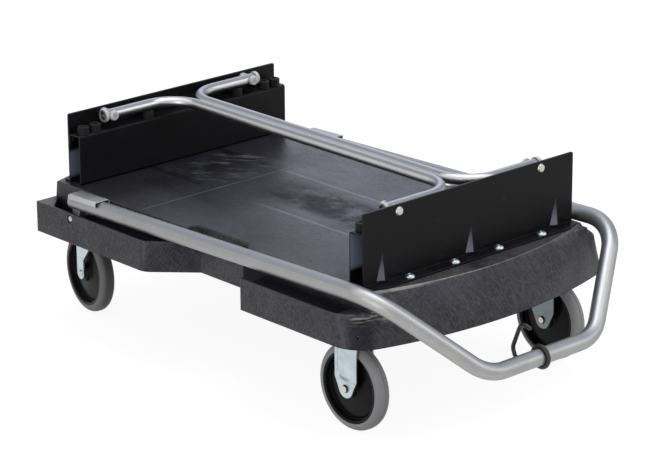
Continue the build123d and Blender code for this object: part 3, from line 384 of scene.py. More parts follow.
def rail_shadow_and_strokes(tree, at):
    """Masks of the painted shadow of the rails along the middle and of the slanting strokes at the rear."""
    forward = fade(tree, split(tree, at)[0], MIDDLE - 0.14, MIDDLE + 0.01)
    blotches = fade(tree, cloud(tree, at, 22.0, 5.0, 0.65), 0.32, 0.58)
    # Painted shadow of the rails, broken into blotches.
    rail_shadow = product(tree, zone(tree, at, across=(-0.022, 0.026, 0.03)), forward, blotches)
    slant = {"Vector": at, "Rotation": (0.0, 0.0, radians(38)), "Scale": (7.0, 1.0, 1.0)}
    slanting = put(tree, "ShaderNodeMapping", slant, vector_type="TEXTURE").outputs[0]
    strokes = fade(tree, cloud(tree, slanting, 150.0, 4.0, 0.6), 0.47, 0.66)
    clumps = fade(tree, cloud(tree, at, 26.0, 3.0), 0.40, 0.60)
    rear = zone(tree, at, (-0.26, -0.17, 0.04), (-0.045, 0.070, 0.03))
    return rail_shadow, product(tree, strokes, clumps, rear)


print("sink marks", len(PALE_SINKS) + len(DARK_SINKS), "patches", len(TOP_PATCHES))

# %% [markdown]
# Painted shade darkens the grooves under the handle, the grip slots and every fold of the sides, and it is
# thinner on walls near the top. On the skirt painted shade darkens the front corners and the bow, a painted
# highlight marks where each corner starts to turn, and knocks have smeared the near one. Edges are painted
# pale where no painted shade covers them, part wear and part painted highlight, and a painted highlight
# runs along the front rim of the top, brightest of all.

# %% Painted shade, highlights and marks on the sides
GROOVE = {"along": (0.123, 0.312, 0.003), "across": (0.2115, 0.2465, 0.0006)}
GRIP_SLOT = {"along": (0.063, 0.124, 0.003), "across": (0.185, 0.2135, 0.001),
             "above": (-0.060, -0.009, 0.006)}
KNOCKED = {"along": (0.336, 0.366, 0.012), "across": (-0.234, -0.200, 0.012),
           "above": (-0.037, -0.0235, 0.004)}
WALL_FOOT, WALL_HEAD = DECK_TOP - 0.028, DECK_TOP - 0.016


def deck_recess_shade(tree, at):
    """Mask of painted shade: the most of what darkens the grooves, the slots and the folds of the sides."""
    _, y, z = split(tree, at)
    groove = zone(tree, at, **GROOVE, mirrored=True)
    groove = product(tree, groove, fade(tree, z, WALL_FOOT, WALL_HEAD, 0.9, 0.2))
    slot = zone(tree, at, **GRIP_SLOT, mirrored=True)
    folds = product(
        tree,
        use(tree, occlusion_shade, Reach=0.05)["Mask"],
        fade(tree, z, WALL_FOOT, WALL_HEAD, 1.0, 0.4),
        fade(tree, calc(tree, "ABSOLUTE", y), 0.200, 0.214),
    )
    return calc(tree, "MAXIMUM", calc(tree, "MAXIMUM", groove, slot), folds)


def skirt_shade_and_marks(tree, at):
    """Masks of painted shade on the front corners and the bow, of a painted highlight where a corner
    turns, and of the knocks.
    """
    x, _, z = split(tree, at)
    ahead, aside, _ = facing(tree)
    skirt = fade(tree, z, DECK_TOP - 0.030, DECK_TOP - 0.026, 1.0, 0.0)
    # Painted shade on the front corners of the skirt.
    corner = product(
        tree,
        fade(tree, ahead, 0.42, 0.56),
        fade(tree, calc(tree, "ABSOLUTE", aside), 0.30, 0.48),
        skirt,
        fade(tree, x, MIDDLE + 0.20, MIDDLE + 0.25, 0.3, 1.0),
    )
    # Painted shade on the front of the bow.
    bow = product(tree, fade(tree, ahead, 0.75, 0.85), fade(tree, z, DECK_TOP - 0.050, DECK_TOP - 0.012))
    # Painted highlight where each corner starts to turn.
    turn_highlight = product(tree, band(tree, ahead, 0.30, 0.37, 0.05), skirt)
    level = put(tree, "ShaderNodeMapping", {"Vector": at, "Scale": (30.0, 30.0, 330.0)}).outputs[0]
    smears = fade(tree, cloud(tree, level, 1.0, 4.0, 0.6), 0.46, 0.64)
    return corner, bow, turn_highlight, product(tree, smears, zone(tree, at, **KNOCKED))


def pale_edges_and_rim_highlight(tree, at, recess_shade):
    """Mask of pale edges clear of painted shade, part wear and part painted highlight, and of a painted
    highlight on the top's front rim, palest on the near side.
    """
    x, y, z = split(tree, at)
    # Painted highlight along the rounded front rim of the top.
    rim = product(
        tree,
        band(tree, facing(tree)[2], 0.62, 0.84, 0.08),
        fade(tree, x, MIDDLE + 0.31, MIDDLE + 0.33),
        fade(tree, z, DECK_TOP - 0.0045, DECK_TOP - 0.0035),
        fade(tree, y, -0.13, 0.06, 0.85, 0.10),
        fade(tree, cloud(tree, at, 60.0, 4.0), 0.3, 0.6, 0.5, 1.0),
    )
    # Pale edges: part rubbed wear, part painted highlight.
    edges = product(
        tree,
        use(tree, worn_edge_highlights, Radius=0.0016)["Mask"],
        fade(tree, cloud(tree, at, 90.0, 4.0), 0.25, 0.6, 0.3, 1.0),
        fade(tree, z, DECK_TOP - 0.048, DECK_TOP - 0.036),
        fade(tree, x, MIDDLE + 0.28, MIDDLE + 0.34, 0.22, 0.85),
        fade(tree, recess_shade, 0.1, 0.5, 1.0, 0.0),
    )
    return calc(tree, "MAXIMUM", edges, rim)


print("groove from", GROOVE["along"][0], "to", GROOVE["along"][1], "ahead of the middle")

# %% [markdown]
# ## The deck's structural foam plastic
# Foamed plastic swirls as it fills the mould, so the charcoal skin has pale streaks and clouds, a pebbled
# grain and many handling scuffs. The look starts from that skin, wears the flat top darker and then lays
# the marks and the painted light over it. Painted shade and highlights on the skirt, wear, dust and the
# rails' painted shadow come first. The painted shade of the recesses and the pale edges, part wear and
# part painted highlight, come last.

# %% Deck plastic
SHADE_BLACK = (0.006, 0.006, 0.008)
SINK_DARK_AND_SHADE = (0.003, 0.003, 0.005)


def deck_look(tree, at):
    """Charcoal skin: swirl clouds, crossed streaks, hair scuffs, a worn top, the deck's marks, painted shade
    and highlights, and grain.
    """
    swirl = fade(tree, cloud(tree, at, 9.0, 6.0, 0.62, 1.8), 0.36, 0.66)
    speckle = fade(tree, cloud(tree, at, 75.0, 5.0, 0.65), 0.42, 0.70)
    dotted = fade(tree, cloud(tree, at, 430.0, 2.0, 0.6), 0.40, 0.66)
    grain = use(tree, fine_grain, Vector=at, Scale=560.0)
    streaks = use(tree, flow_streaks, Vector=at, Scale=230.0, Stretch=6.0)["Mask"]
    hairs = use(tree, flow_streaks, Vector=at, Scale=480.0, Stretch=16.0)["Mask"]
    scuffs = use(tree, hair_scuffs, Vector=at, Scale=250.0, Stretch=14.0, Turn=0.8, Width=0.03)["Mask"]
    dust = use(tree, settled_dust, Vector=at, Scale=9.0)
    upward = dust["Upward"]
    crease_highlights, sunk = (sink_marks(tree, at, spans) for spans in (PALE_SINKS, DARK_SINKS))
    rail_shadow, dragged = rail_shadow_and_strokes(tree, at)
    corner, bow, turn_highlight, knocks = skirt_shade_and_marks(tree, at)
    recess_shade = deck_recess_shade(tree, at)
    skin = tint(tree, swirl, (0.0235, 0.0225, 0.0220), (0.0470, 0.0447, 0.0435))
    skin = stain(
        tree, skin,
        (speckle, 0.30, (0.066, 0.063, 0.063)),
        (streaks, 0.55, (0.105, 0.101, 0.101)),
        (hairs, 0.62, (0.14, 0.136, 0.137)),
        (scuffs, 0.35, (0.16, 0.156, 0.158)),
    )
    worn = tint(tree, 0.74, skin, (0.005, 0.0055, 0.0085))
    between_ends = zone(tree, at, along=(-0.316, 0.316, 0.004))
    skin = tint(tree, product(tree, upward, between_ends), skin, worn)
    # Painted shade on corners and bow, a painted highlight at each turn, a painted shadow of the rails.
    skin = stain(
        tree, skin,
        (corner, 0.72, SHADE_BLACK),
        (bow, 0.34, SHADE_BLACK),
        (turn_highlight, 0.3, (0.13, 0.13, 0.17)),
        (knocks, 0.8, (0.40, 0.39, 0.38)),
        (dust["Mask"], 0.16, (0.050, 0.053, 0.068)),
        (product(tree, dotted, upward), 0.45, (0.044, 0.045, 0.060)),
        # Painted shadow of the rails along the middle.
        (product(tree, rail_shadow, upward), 0.8, (0.003, 0.003, 0.004)),
    )
    dulling = 0.0
    # The rear patches darken the top with painted shade.
    for along, across, dulled, shaded in TOP_PATCHES:
        patch = product(tree, zone(tree, at, along, across), upward)
        dulling = lift(tree, patch, dulled, dulling)
        skin = stain(tree, skin, (patch, shaded, SINK_DARK_AND_SHADE))
    # Painted highlights on the pale sinks, painted shade in recesses, pale edges part wear, part highlight.
    skin = stain(
        tree, skin,
        (sunk, 0.75, SINK_DARK_AND_SHADE),
        (product(tree, dragged, upward), 0.7, (0.13, 0.135, 0.15)),
        (crease_highlights, 0.55, (0.105, 0.11, 0.135)),
        (recess_shade, 0.8, (0.003, 0.003, 0.0035)),
        (pale_edges_and_rim_highlight(tree, at, recess_shade), 1.0, (0.36, 0.355, 0.35)),
    )
    roughness = calc(tree, "ADD", lift(tree, grain["Patch"], 0.10, 0.32), dulling)
    for mask, added in ((streaks, 0.14), (rail_shadow, 0.25), (recess_shade, 0.45)):
        roughness = lift(tree, mask, added, roughness)
    height = lift(tree, streaks, 0.5, grain["Height"])
    height = lift(tree, crease_highlights, 1.5, height)
    return skin, roughness, height, 0.00015


deck_plastic = finish("deck plastic", deck_look, specular=0.20, shine=(0.62, 0.64, 1.0), edge=0.0025)
print(deck_plastic.name, len(deck_plastic.node_tree.nodes), "nodes")

# %% [markdown]
# ## Coated and painted steel
# The end plates and channels are powder coated: a satin black film with a faint orange peel. Painted
# highlights lie on the flanks of the gussets, and painted light on the faces within the open ends of the
# channels, so both are tinted by place. Pale edges along the folds are part wear and part painted
# highlight. The wire hook is dipped in soft black plastic, which is smoother and has fewer, wider bumps.

# %% Black paint and dipped wire


def paint_look(tree, at):
    """Satin black film: orange peel, scuffs, dusty ledges, pale worn edges, painted highlights on flanks
    and folds, and painted light in the channel ends.
    """
    peel = use(tree, fine_grain, Vector=at, Scale=420.0)
    rubbed = use(tree, hair_scuffs, Vector=at, Scale=160.0, Stretch=20.0, Turn=0.5, Width=0.02)["Mask"]
    dust = use(tree, settled_dust, Vector=at, Scale=22.0)["Mask"]
    ahead, aside, _ = facing(tree)
    z = split(tree, at)[2]
    # Painted highlight on the flanks of the gussets.
    flank_highlight = product(
        tree,
        fade(tree, ahead, 0.80, 0.86),
        fade(tree, aside, -0.28, -0.38),
        fade(tree, z, DECK_TOP + 0.006, DECK_TOP + 0.045, 1.0, 0.12),
        fade(tree, z, DECK_TOP + 0.003, DECK_TOP + 0.0045),
    )
    # Painted light on the faces within the open channel ends.
    front_face = zone(tree, at, along=(0.2942, 0.2966, 0.0003))
    front_inside = product(tree, front_face, fade(tree, z, DECK_TOP + 0.018, DECK_TOP + 0.026))
    rear_inside = zone(tree, at, along=(-0.3184, -0.3176, 0.0003), above=(0.014, 0.043, 0.009))
    inside = lift(tree, rear_inside, 0.65, front_inside)
    film = stain(
        tree, tint(tree, peel["Patch"], (0.0032, 0.0031, 0.0038), (0.0052, 0.0051, 0.0064)),
        (rubbed, 0.14, (0.04, 0.04, 0.045)),
        (dust, 0.06, (0.10, 0.10, 0.12)),
        (flank_highlight, 1.0, (0.18, 0.17, 0.215)),
        (inside, fade(tree, ahead, 0.8, 0.95), (0.23, 0.27, 0.37)),
        # Pale edges: part rubbed wear, part painted highlight along the folds.
        (use(tree, worn_edge_highlights, Radius=0.0010)["Mask"], 0.45, (0.065, 0.066, 0.072)),
    )
    return film, lift(tree, peel["Patch"], 0.08, 0.40), peel["Height"], 0.00006


def wire_look(tree, at):
    """Dipped black skin with a few slow runs and worn lighter spots."""
    skin = use(tree, fine_grain, Vector=at, Scale=260.0)
    black = tint(tree, skin["Patch"], (0.007, 0.007, 0.007), (0.016, 0.016, 0.016))
    return black, lift(tree, skin["Patch"], 0.12, 0.34), skin["Height"], 0.0001


black_paint = finish("black powder coat", paint_look, specular=0.12, edge=0.0008)
dipped_wire = finish("dipped wire coat", wire_look)
print(black_paint.name, dipped_wire.name)

# %% [markdown]
# ## Satin aluminium
# The handle and the rails are drawn aluminium tube. Drawing leaves fine lines along the tube, so the tube
# surfaces carry a map that runs along their length in metres, and the noise is stretched along it. Plain
# coordinates would do for a straight tube, but not round the bends. Light is painted onto the tubes by
# facing: a painted reflection band darkens the straight runs near the crown, painted highlights brighten
# the bends, and painted shade greys the lower sides. The saddles and the lugs have no such direction, and
# read plain object coordinates.

# %% Tube and sheet aluminium
TUBE_SHINE = (0.62, 0.64, 0.72)


def tube_look(dull, bright, crown, underside_shade, polish):
    """Look of a drawn tube between two greys, with greys for its painted crown reflection and its painted
    shade below, and a roughness.
    """

    def look(tree, run):
        """Drawn lines along the tube, slow bright and dull lengths, a few scuffs, and painted shade,
        reflection and highlights by facing.
        """
        along = put(tree, "ShaderNodeMapping", {"Vector": run, "Scale": (1.0, 0.02, 1.0)}).outputs[0]
        drawn = cloud(tree, along, 1900.0, 3.0, 0.6)
        mottle = fade(tree, cloud(tree, run, 14.0, 4.0, 0.6), 0.3, 0.7)
        scuffs = use(tree, hair_scuffs, Vector=run, Scale=120.0, Stretch=5.0, Turn=0.3, Width=0.012)["Mask"]
        ahead, aside, upward = facing(tree)
        # Painted shade below, a painted reflection band near the crown and painted highlights on the bends.
        shade = fade(tree, upward, -0.75, 0.25, 1.0, 0.0)
        bend_highlight = fade(tree, product(tree, ahead, aside), -0.17, -0.02, 1.0, 0.0)
        bend_highlight = product(tree, bend_highlight, fade(tree, upward, 0.25, 0.75))
        crown_reflection_band = product(tree, band(tree, upward, 0.66, 0.88, 0.16), calc(tree, "SUBTRACT", 1.0, bend_highlight))
        dulled, brightened = ((grey, grey * 0.995, grey * 0.98) for grey in (dull, bright))
        metal = stain(
            tree, tint(tree, mottle, dulled, brightened),
            (drawn, 0.22, (dull * 0.85, dull * 0.85, dull * 0.87)),
            (scuffs, 0.35, (0.55, 0.55, 0.55)),
            (shade, 1.0, (underside_shade, underside_shade, underside_shade * 0.98)),
            (crown_reflection_band, 1.0, (crown * 0.97, crown, crown * 1.12)),
            (bend_highlight, 1.0, (bright * 1.4, bright * 1.4, bright * 1.38)),
        )
        return metal, lift(tree, drawn, 0.12, polish), drawn, 0.00003

    return look


def sheet_look(tree, at):
    """Rolled sheet: cloudy satin with scuffs."""
    rolled = use(tree, fine_grain, Vector=at, Scale=700.0)
    scuffs = use(tree, hair_scuffs, Vector=at, Scale=420.0, Stretch=14.0, Turn=0.4, Width=0.03)["Mask"]
    metal = tint(tree, rolled["Patch"], (0.43, 0.432, 0.440), (0.51, 0.512, 0.520))
    metal = stain(tree, metal, (scuffs, 0.4, (0.55, 0.55, 0.55)))
    return metal, lift(tree, rolled["Patch"], 0.12, 0.44), rolled["Height"], 0.00003


handle_look = tube_look(dull=0.32, bright=0.37, crown=0.29, underside_shade=0.42, polish=0.42)
rail_look = tube_look(dull=0.48, bright=0.54, crown=0.27, underside_shade=0.38, polish=0.30)
handle_tube = finish("drawn handle tube", handle_look, metallic=1.0, shine=TUBE_SHINE, where="UV")
rail_tube = finish("drawn rail tube", rail_look, metallic=1.0, shine=TUBE_SHINE, where="UV")
sheet_metal = finish("satin sheet", sheet_look, metallic=1.0, shine=(0.45, 0.46, 0.50))
print(handle_tube.name, rail_tube.name, sheet_metal.name)

# %% [markdown]
# ## Zinc plate
# Fork legs, plates, bolts and pins are zinc plated, which has a cool blue cast, a soft cloudiness and
# dull marks where tools pressed it. The near front fork has a panel pressed into its legs, with a curved
# lower corner. It is under a millimetre deep, so a bump does for it, and painted shade darkens the edge and
# the lower fold of the panel. The far front fork is darkened with painted shade from the deck. The front
# axles are rivets whose plate is rubbed off, so they look warmer, and so do the pivot pins; a ring of
# painted shadow lies where each axle head slopes to the leg.

# %% Zinc plate and forks
PANEL_ROUND = 0.014
PANEL_BEHIND, PANEL_ABOVE = 0.0165, 0.011


def zinc_look(tree, at):
    """Blue white plate with clouds, fine grain and tool marks."""
    plate = use(tree, fine_grain, Vector=at, Scale=1300.0)
    clouds = fade(tree, cloud(tree, at, 55.0, 4.0, 0.6), 0.3, 0.7)
    marks = use(tree, hair_scuffs, Vector=at, Scale=330.0, Stretch=10.0, Turn=1.1, Width=0.03)["Mask"]
    zinc = tint(tree, clouds, (0.44, 0.51, 0.545), (0.56, 0.635, 0.665))
    zinc = stain(tree, zinc, (marks, 0.4, (0.40, 0.44, 0.46)))
    return zinc, lift(tree, clouds, 0.12, 0.30), plate["Height"], 0.00004


def length(tree, a, b):
    """Length of a pair: the root of a squared plus b squared."""
    return calc(tree, "SQRT", lift(tree, a, a, calc(tree, "MULTIPLY", b, b)))


def fork_look(tree, at):
    """Zinc plate with a panel pressed into each leg, d < r, where d = |max(r - (x - x0, z - z0), 0)|."""
    zinc, roughness, grain, _ = zinc_look(tree, at)
    x, _, z = split(tree, at)
    axle_x, _, axle_z = joints["front_right_wheel_spin"]["pos_m"]
    short_x = calc(tree, "MAXIMUM", calc(tree, "SUBTRACT", axle_x - PANEL_BEHIND + PANEL_ROUND, x), 0.0)
    short_z = calc(tree, "MAXIMUM", calc(tree, "SUBTRACT", axle_z + PANEL_ABOVE + PANEL_ROUND, z), 0.0)
    away = length(tree, short_x, short_z)
    raised = fade(tree, away, PANEL_ROUND - 0.0016, PANEL_ROUND)
    low = fade(tree, short_z, 0.003, 0.010)
    line = band(tree, away, PANEL_ROUND - 0.0012, PANEL_ROUND - 0.0006, 0.0012)
    line = product(tree, line, fade(tree, low, 0.0, 1.0, 0.55, 0.15))
    fold = product(tree, band(tree, away, PANEL_ROUND - 0.0045, PANEL_ROUND - 0.0015, 0.0018), low)
    fold = product(tree, fold, fade(tree, x, axle_x - 0.002, axle_x + 0.012, 0.75, 0.0))
    # Painted shade along the panel's edge and in its lower fold.
    zinc = tint(tree, calc(tree, "MAXIMUM", line, fold), zinc, (0.17, 0.22, 0.26))
    return zinc, roughness, lift(tree, grain, 0.05, raised), 0.0009


def shaded_fork_look(tree, at):
    """Zinc plate darkened with painted shade."""
    zinc, roughness, grain, depth = zinc_look(tree, at)
    return tint(tree, 0.32, (0.03, 0.035, 0.037), zinc), roughness, grain, depth


zinc_plate = finish("zinc plate", zinc_look, metallic=1.0)
pressed_zinc = finish("pressed zinc fork", fork_look, metallic=1.0)
shaded_zinc = finish("dulled zinc fork", shaded_fork_look, metallic=1.0, shine=(0.4, 0.43, 0.45))
print(zinc_plate.name, pressed_zinc.name, shaded_zinc.name)

# %% Axle and rivet steel


def rivet_look(tree, at):
    """Set rivet heads, pale and warm with a soft mottle."""
    face = use(tree, fine_grain, Vector=at, Scale=800.0)
    steel = tint(tree, face["Patch"], (0.50, 0.485, 0.465), (0.60, 0.585, 0.56))
    return steel, lift(tree, face["Patch"], 0.12, 0.46), face["Height"], 0.00008


def axle_look(tree, at):
    """Rubbed rivet face, pale and warm on the flat, with a ring of painted shadow where the head slopes to
    the leg.
    """
    face = use(tree, fine_grain, Vector=at, Scale=800.0)
    slope_shadow = fade(tree, calc(tree, "ABSOLUTE", facing(tree)[1]), 0.75, 0.93, 1.0, 0.0)
    steel = tint(tree, face["Patch"], (0.52, 0.47, 0.41), (0.68, 0.63, 0.56))
    steel = tint(tree, slope_shadow, steel, (0.035, 0.035, 0.037))
    return steel, lift(tree, face["Patch"], 0.15, 0.30), face["Height"], 0.00012


axle_steel = finish("rubbed axle steel", axle_look, metallic=1.0)
rivet_steel = finish("pale rivet steel", rivet_look, metallic=1.0)
print(axle_steel.name, rivet_steel.name)

# %% [markdown]
# ## Rubber and plastics of the wheels and fittings
# The tyres are soft grey rubber with a tan mould line round the tread. Their running faces are darkened: a
# little on the front pair, which are soiled, and much more on the rear pair, by painted shade from the
# deck. One look with a share of that darkening serves both. The cores are glossy black plastic and the
# bumpers dull rubber. Caps, collars and spacers are white nylon that has yellowed a little: each cap has a
# grey dimple on its pivot's axis, and the cut ends of the collars have greyed.

# %% Rubber and wheel cores


def tyre_look(dirt_and_shade):
    """Look of a tyre whose running face is darkened, by soiling and painted shade, as far as the share says.
    """

    def look(tree, at):
        """Blue grey rubber with a slow mottle, soiled patches, fine grain and a tan line on the tread."""
        rubber = use(tree, fine_grain, Vector=at, Scale=900.0)
        soiled = fade(tree, cloud(tree, at, 48.0, 5.0, 0.65), 0.45, 0.75)
        run = put(tree, "ShaderNodeTexCoord").outputs["UV"]
        across = calc(tree, "ABSOLUTE", split(tree, run)[1])
        grey = stain(
            tree, tint(tree, rubber["Patch"], (0.270, 0.274, 0.286), (0.325, 0.329, 0.341)),
            (soiled, 0.22, (0.170, 0.158, 0.145)),
            (band(tree, across, -0.0001, 0.0004, 0.0013), 0.65, (0.195, 0.150, 0.112)),
            # Darkened running face: light soiling on the front tyres, painted shade from the deck on the
            # rear ones.
            (fade(tree, across, 0.0035, 0.0105, dirt_and_shade, dirt_and_shade * 0.62), 1.0, (0.048, 0.040, 0.034)),
        )
        return grey, lift(tree, soiled, 0.12, 0.50), rubber["Height"], 0.00008

    return look


def core_look(tree, at):
    """Glossy black plastic with flow clouds and hair scuffs."""
    flow = fade(tree, cloud(tree, at, 35.0, 4.0, 0.6, 0.8), 0.3, 0.7)
    scuffs = use(tree, hair_scuffs, Vector=at, Scale=380.0, Stretch=16.0, Turn=0.7, Width=0.02)["Mask"]
    black = tint(tree, flow, (0.0030, 0.0030, 0.0034), (0.0052, 0.0052, 0.0058))
    black = stain(tree, black, (scuffs, 0.2, (0.02, 0.02, 0.02)))
    grain = use(tree, fine_grain, Vector=at, Scale=700.0)
    return black, lift(tree, flow, 0.10, 0.26), grain["Height"], 0.00004


def bumper_look(tree, at):
    """Dull black rubber with a fine grain and a dusty top."""
    skin = use(tree, fine_grain, Vector=at, Scale=1100.0)
    dust = use(tree, settled_dust, Vector=at, Scale=120.0)["Mask"]
    black = tint(tree, skin["Patch"], (0.006, 0.006, 0.007), (0.011, 0.011, 0.012))
    black = stain(tree, black, (dust, 0.15, (0.10, 0.10, 0.10)))
    return black, lift(tree, skin["Patch"], 0.1, 0.62), skin["Height"], 0.0001


grey_tyre = finish("grey tyre rubber", tyre_look(dirt_and_shade=0.06), specular=0.3)
shaded_tyre = finish("dirty tyre rubber", tyre_look(dirt_and_shade=0.86), specular=0.3)
black_core = finish("glossy wheel core", core_look, specular=0.10)
black_rubber = finish("bumper rubber", bumper_look, specular=0.2)
print([made.name for made in (grey_tyre, shaded_tyre, black_core, black_rubber)])

# %% White nylon


def nylon_look(tree, at):
    """White nylon, slightly yellowed in patches, with a dull skin."""
    skin = use(tree, fine_grain, Vector=at, Scale=1500.0)
    aged = fade(tree, cloud(tree, at, 90.0, 3.0), 0.4, 0.7)
    white = tint(tree, aged, (0.56, 0.57, 0.58), (0.50, 0.49, 0.46))
    return white, lift(tree, skin["Patch"], 0.1, 0.42), skin["Height"], 0.00005


def cap_look(tree, at):
    """White nylon with a grey dimple round each rail's pivot axis, r = |(y, z) - (y0, z0)|."""
    white, roughness, height, depth = nylon_look(tree, at)
    _, y, z = split(tree, at)
    _, axis_y, axis_z = joints["right_rail_fold"]["pos_m"]
    out_y = calc(tree, "SUBTRACT", calc(tree, "ABSOLUTE", y), abs(axis_y))
    away = length(tree, out_y, calc(tree, "SUBTRACT", z, axis_z))
    white = tint(tree, fade(tree, away, 0.0026, 0.0042, 0.55, 0.0), white, (0.22, 0.225, 0.23))
    return white, roughness, height, depth


def collar_look(tree, at):
    """White nylon ring whose cut end has greyed with dirt."""
    white, roughness, height, depth = nylon_look(tree, at)
    aside = calc(tree, "ABSOLUTE", facing(tree)[1])
    white = tint(tree, fade(tree, aside, 0.6, 0.95, 0.0, 0.85), white, (0.09, 0.093, 0.097))
    return white, roughness, height, depth


white_nylon = finish("white nylon", nylon_look)
cap_nylon = finish("white nylon cap", cap_look)
collar_nylon = finish("white nylon collar", collar_look)
print([made.name for made in (white_nylon, cap_nylon, collar_nylon)])

# %% [markdown]
# ## Dressing the CAD nodes
# A node's record slot says what it is made of, so one table gives every node its finish, and a second one
# names the few nodes that look different. Sharp machine edges look false in any light: a Weld joins the
# node's loose triangles, a planar Decimate clears the flat faces of inner lines, and a narrow Bevel then
# softens the real edges without touching the node's own mesh.

# %% Finishes for the nodes
by_slot = {
    "deck_plastic": deck_plastic,
    "zinc_steel": zinc_plate,
    "black_paint": black_paint,
    "coated_wire": dipped_wire,
    "satin_aluminium": sheet_metal,
    "black_rubber": black_rubber,
    "grey_tyre": grey_tyre,
    "black_core": black_core,
    "bush_plastic": white_nylon,
    "white_nylon": white_nylon,
    "plug_plastic": black_rubber,
}
by_name = {
    "channel_rivets": black_paint,
    "front_axles": axle_steel,
    "front_right_fork": pressed_zinc,
    "front_left_fork": shaded_zinc,
    "rail_pivot_pins": rivet_steel,
    "handle_pivot_pins": rivet_steel,
    "rail_pin_caps": cap_nylon,
    "right_rail_collars": collar_nylon,
    "left_rail_collars": collar_nylon,
}
slot_of = {part["node"]: part["material_slot"] for part in frame["record"]["subparts"]}
for name, node in nodes.items():
    node.data.materials.clear()
    node.data.materials.append(by_name.get(name, by_slot[slot_of[name]]))
print("dressed", len(nodes), "nodes,", len(by_name), "by name")

# %% Softened edges
edge_width = {"deck_platform": 1.2, "handle_saddles": 0.4, "handle_pivot_lugs": 0.4}
for end in ("front", "rear"):
    for pressed in ("end_plate", "channel", "right_fork", "left_fork"):
        edge_width[f"{end}_{pressed}"] = 0.5
for name, width in edge_width.items():
    node = nodes[name]
    weld = node.modifiers.new("join triangles", "WELD")
    weld.merge_threshold = 0.02 * MM
    flat = node.modifiers.new("clear flats", "DECIMATE")
    flat.decimate_type = "DISSOLVE"
    flat.angle_limit = radians(0.8)
    soft = node.modifiers.new("soft edges", "BEVEL")
    soft.width = width * MM
    soft.segments = 2
    soft.limit_method = "ANGLE"
    soft.angle_limit = radians(40)
    soft.harden_normals = True
print("softened", len(edge_width), "nodes")

# %% [markdown]
# ## Wheels
# A wheel is turned: one half profile is carried round the axle. The core has a hub, a domed disc, a narrow
# groove and a rim lip, and the tyre has round shoulders, a bead line and a fine mould ridge. A Screw
# modifier could turn the profile too, but a formula also gives the map of the wheel, which runs round it
# and across it, so that the tyre finish can find the mould ridge.

# %% Turned surfaces
MAP_RADIUS = 60.0


def turned(profile, centre, axis, steps=128):
    """Surface of revolution: P(s, t) = C + a(s) A + r(s) (cos t U + sin t V), with U and V square to A."""
    axis = np.array(axis) / np.linalg.norm(axis)
    up = np.array([0.0, 0.0, 1.0]) if abs(axis[2]) < 0.9 else np.array([1.0, 0.0, 0.0])
    side = np.cross(up, axis)
    t = np.linspace(0, 2 * pi, steps, endpoint=False)
    ring = np.outer(np.cos(t), side) + np.outer(np.sin(t), up)
    run = np.array(profile) * MM
    return np.array(centre) + run[:, None, :1] * axis + run[:, None, 1:] * ring[None]


def turned_run(profile, steps=128):
    """Map of a turned surface in metres: round it at the map's radius, and across along the axle."""
    across = np.append(np.array(profile)[:, 0], profile[0][0]) * MM
    around = np.linspace(0, 2 * pi, steps + 1) * MAP_RADIUS * MM
    return np.stack(np.broadcast_arrays(around[None, :], across[:, None]), axis=2)


def both_sides(half):
    """A half profile from the bore outwards, joined to its mirror image, as one closed loop."""
    half = np.array(half)
    return np.vstack([half, half[::-1] * (-1, 1)])


print("turning helpers ready")

# %% Cores and tyres
# Profile points are millimetres along the axle from the wheel's middle, and out from the axle.
core_half = [
    (13.0, 8.05), (13.0, 12.6), (12.4, 13.6), (11.6, 14.0), (8.2, 14.3), (7.4, 15.0), (7.0, 16.5),
    (6.6, 22.0), (5.9, 29.0), (5.1, 36.0), (4.3, 42.0), (4.0, 43.6), (3.5, 44.3), (2.9, 44.7), (2.55, 45.2),
    (2.5, 45.7), (2.7, 46.3), (3.2, 46.7), (9.6, 47.1), (10.5, 47.5), (11.0, 48.4), (11.0, 51.5),
]
shoulder_r = 9.5
arc = np.radians(np.linspace(0, 90, 12))
shoulder = np.stack([2.0 + shoulder_r * np.cos(arc), 53.0 + shoulder_r * np.sin(arc)], axis=1)
bead = [(10.6, 51.52), (11.2, 51.7), (11.45, 52.2)]
ridge = [(1.0, 62.38), (0.5, 62.42), (0.25, 62.5)]
tyre_half = np.vstack([bead, shoulder, ridge])
for corner in ("front_right", "front_left", "rear_right", "rear_left"):
    spin = joints[f"{corner}_wheel_spin"]
    rubber = grey_tyre if corner.startswith("front") else shaded_tyre
    for label, half, slot, look in (("wheel_core", core_half, "black_core", black_core),
                                    ("tyre", tyre_half, "grey_tyre", rubber)):
        loop = both_sides(half)
        grid = turned(loop, spin["pos_m"], spin["axis"])
        mesh = sheet_mesh(f"{corner}_{label}_turned", grid, turned_run(loop), sharp=50)
        piece(f"{corner}_{label}_turned", mesh, f"{corner}_wheel", slot, look, f"{corner}_{label}")
print("turned 4 cores and 4 tyres")

# %% [markdown]
# ## Bent tubes
# The handle and the rails are round tube with rounded bends. The centre line is a row of corner points, and
# each corner is cut back to an arc of the bend's radius. A circle carried along that line gives the outer
# wall, a smaller one coming back gives the bore, and the two meet in the flat ring of each cut end. A curve
# with a round bevel would give the wall alone.

# %% Tube along a bent line


def bent_line(corners, radii, steps=28):
    """Centre line through corner points: straight runs, and an arc that touches both runs at each corner."""
    corners = np.array(corners)
    runs = [corners[:1]]
    for before, at, after, radius in zip(corners, corners[1:], corners[2:], radii):
        back, on = before - at, after - at
        back, on = back / np.linalg.norm(back), on / np.linalg.norm(on)
        half = np.arccos(np.clip(back @ on, -1, 1)) / 2
        middle = at + (back + on) / np.linalg.norm(back + on) * radius / sin(half)
        start = at + back * radius / np.tan(half) - middle
        swing = np.linspace(0, pi - 2 * half, steps)
        runs.append(middle + np.outer(np.cos(swing), start) - np.outer(np.sin(swing), back) * radius)
    runs.append(corners[-1:])
    return np.vstack(runs)


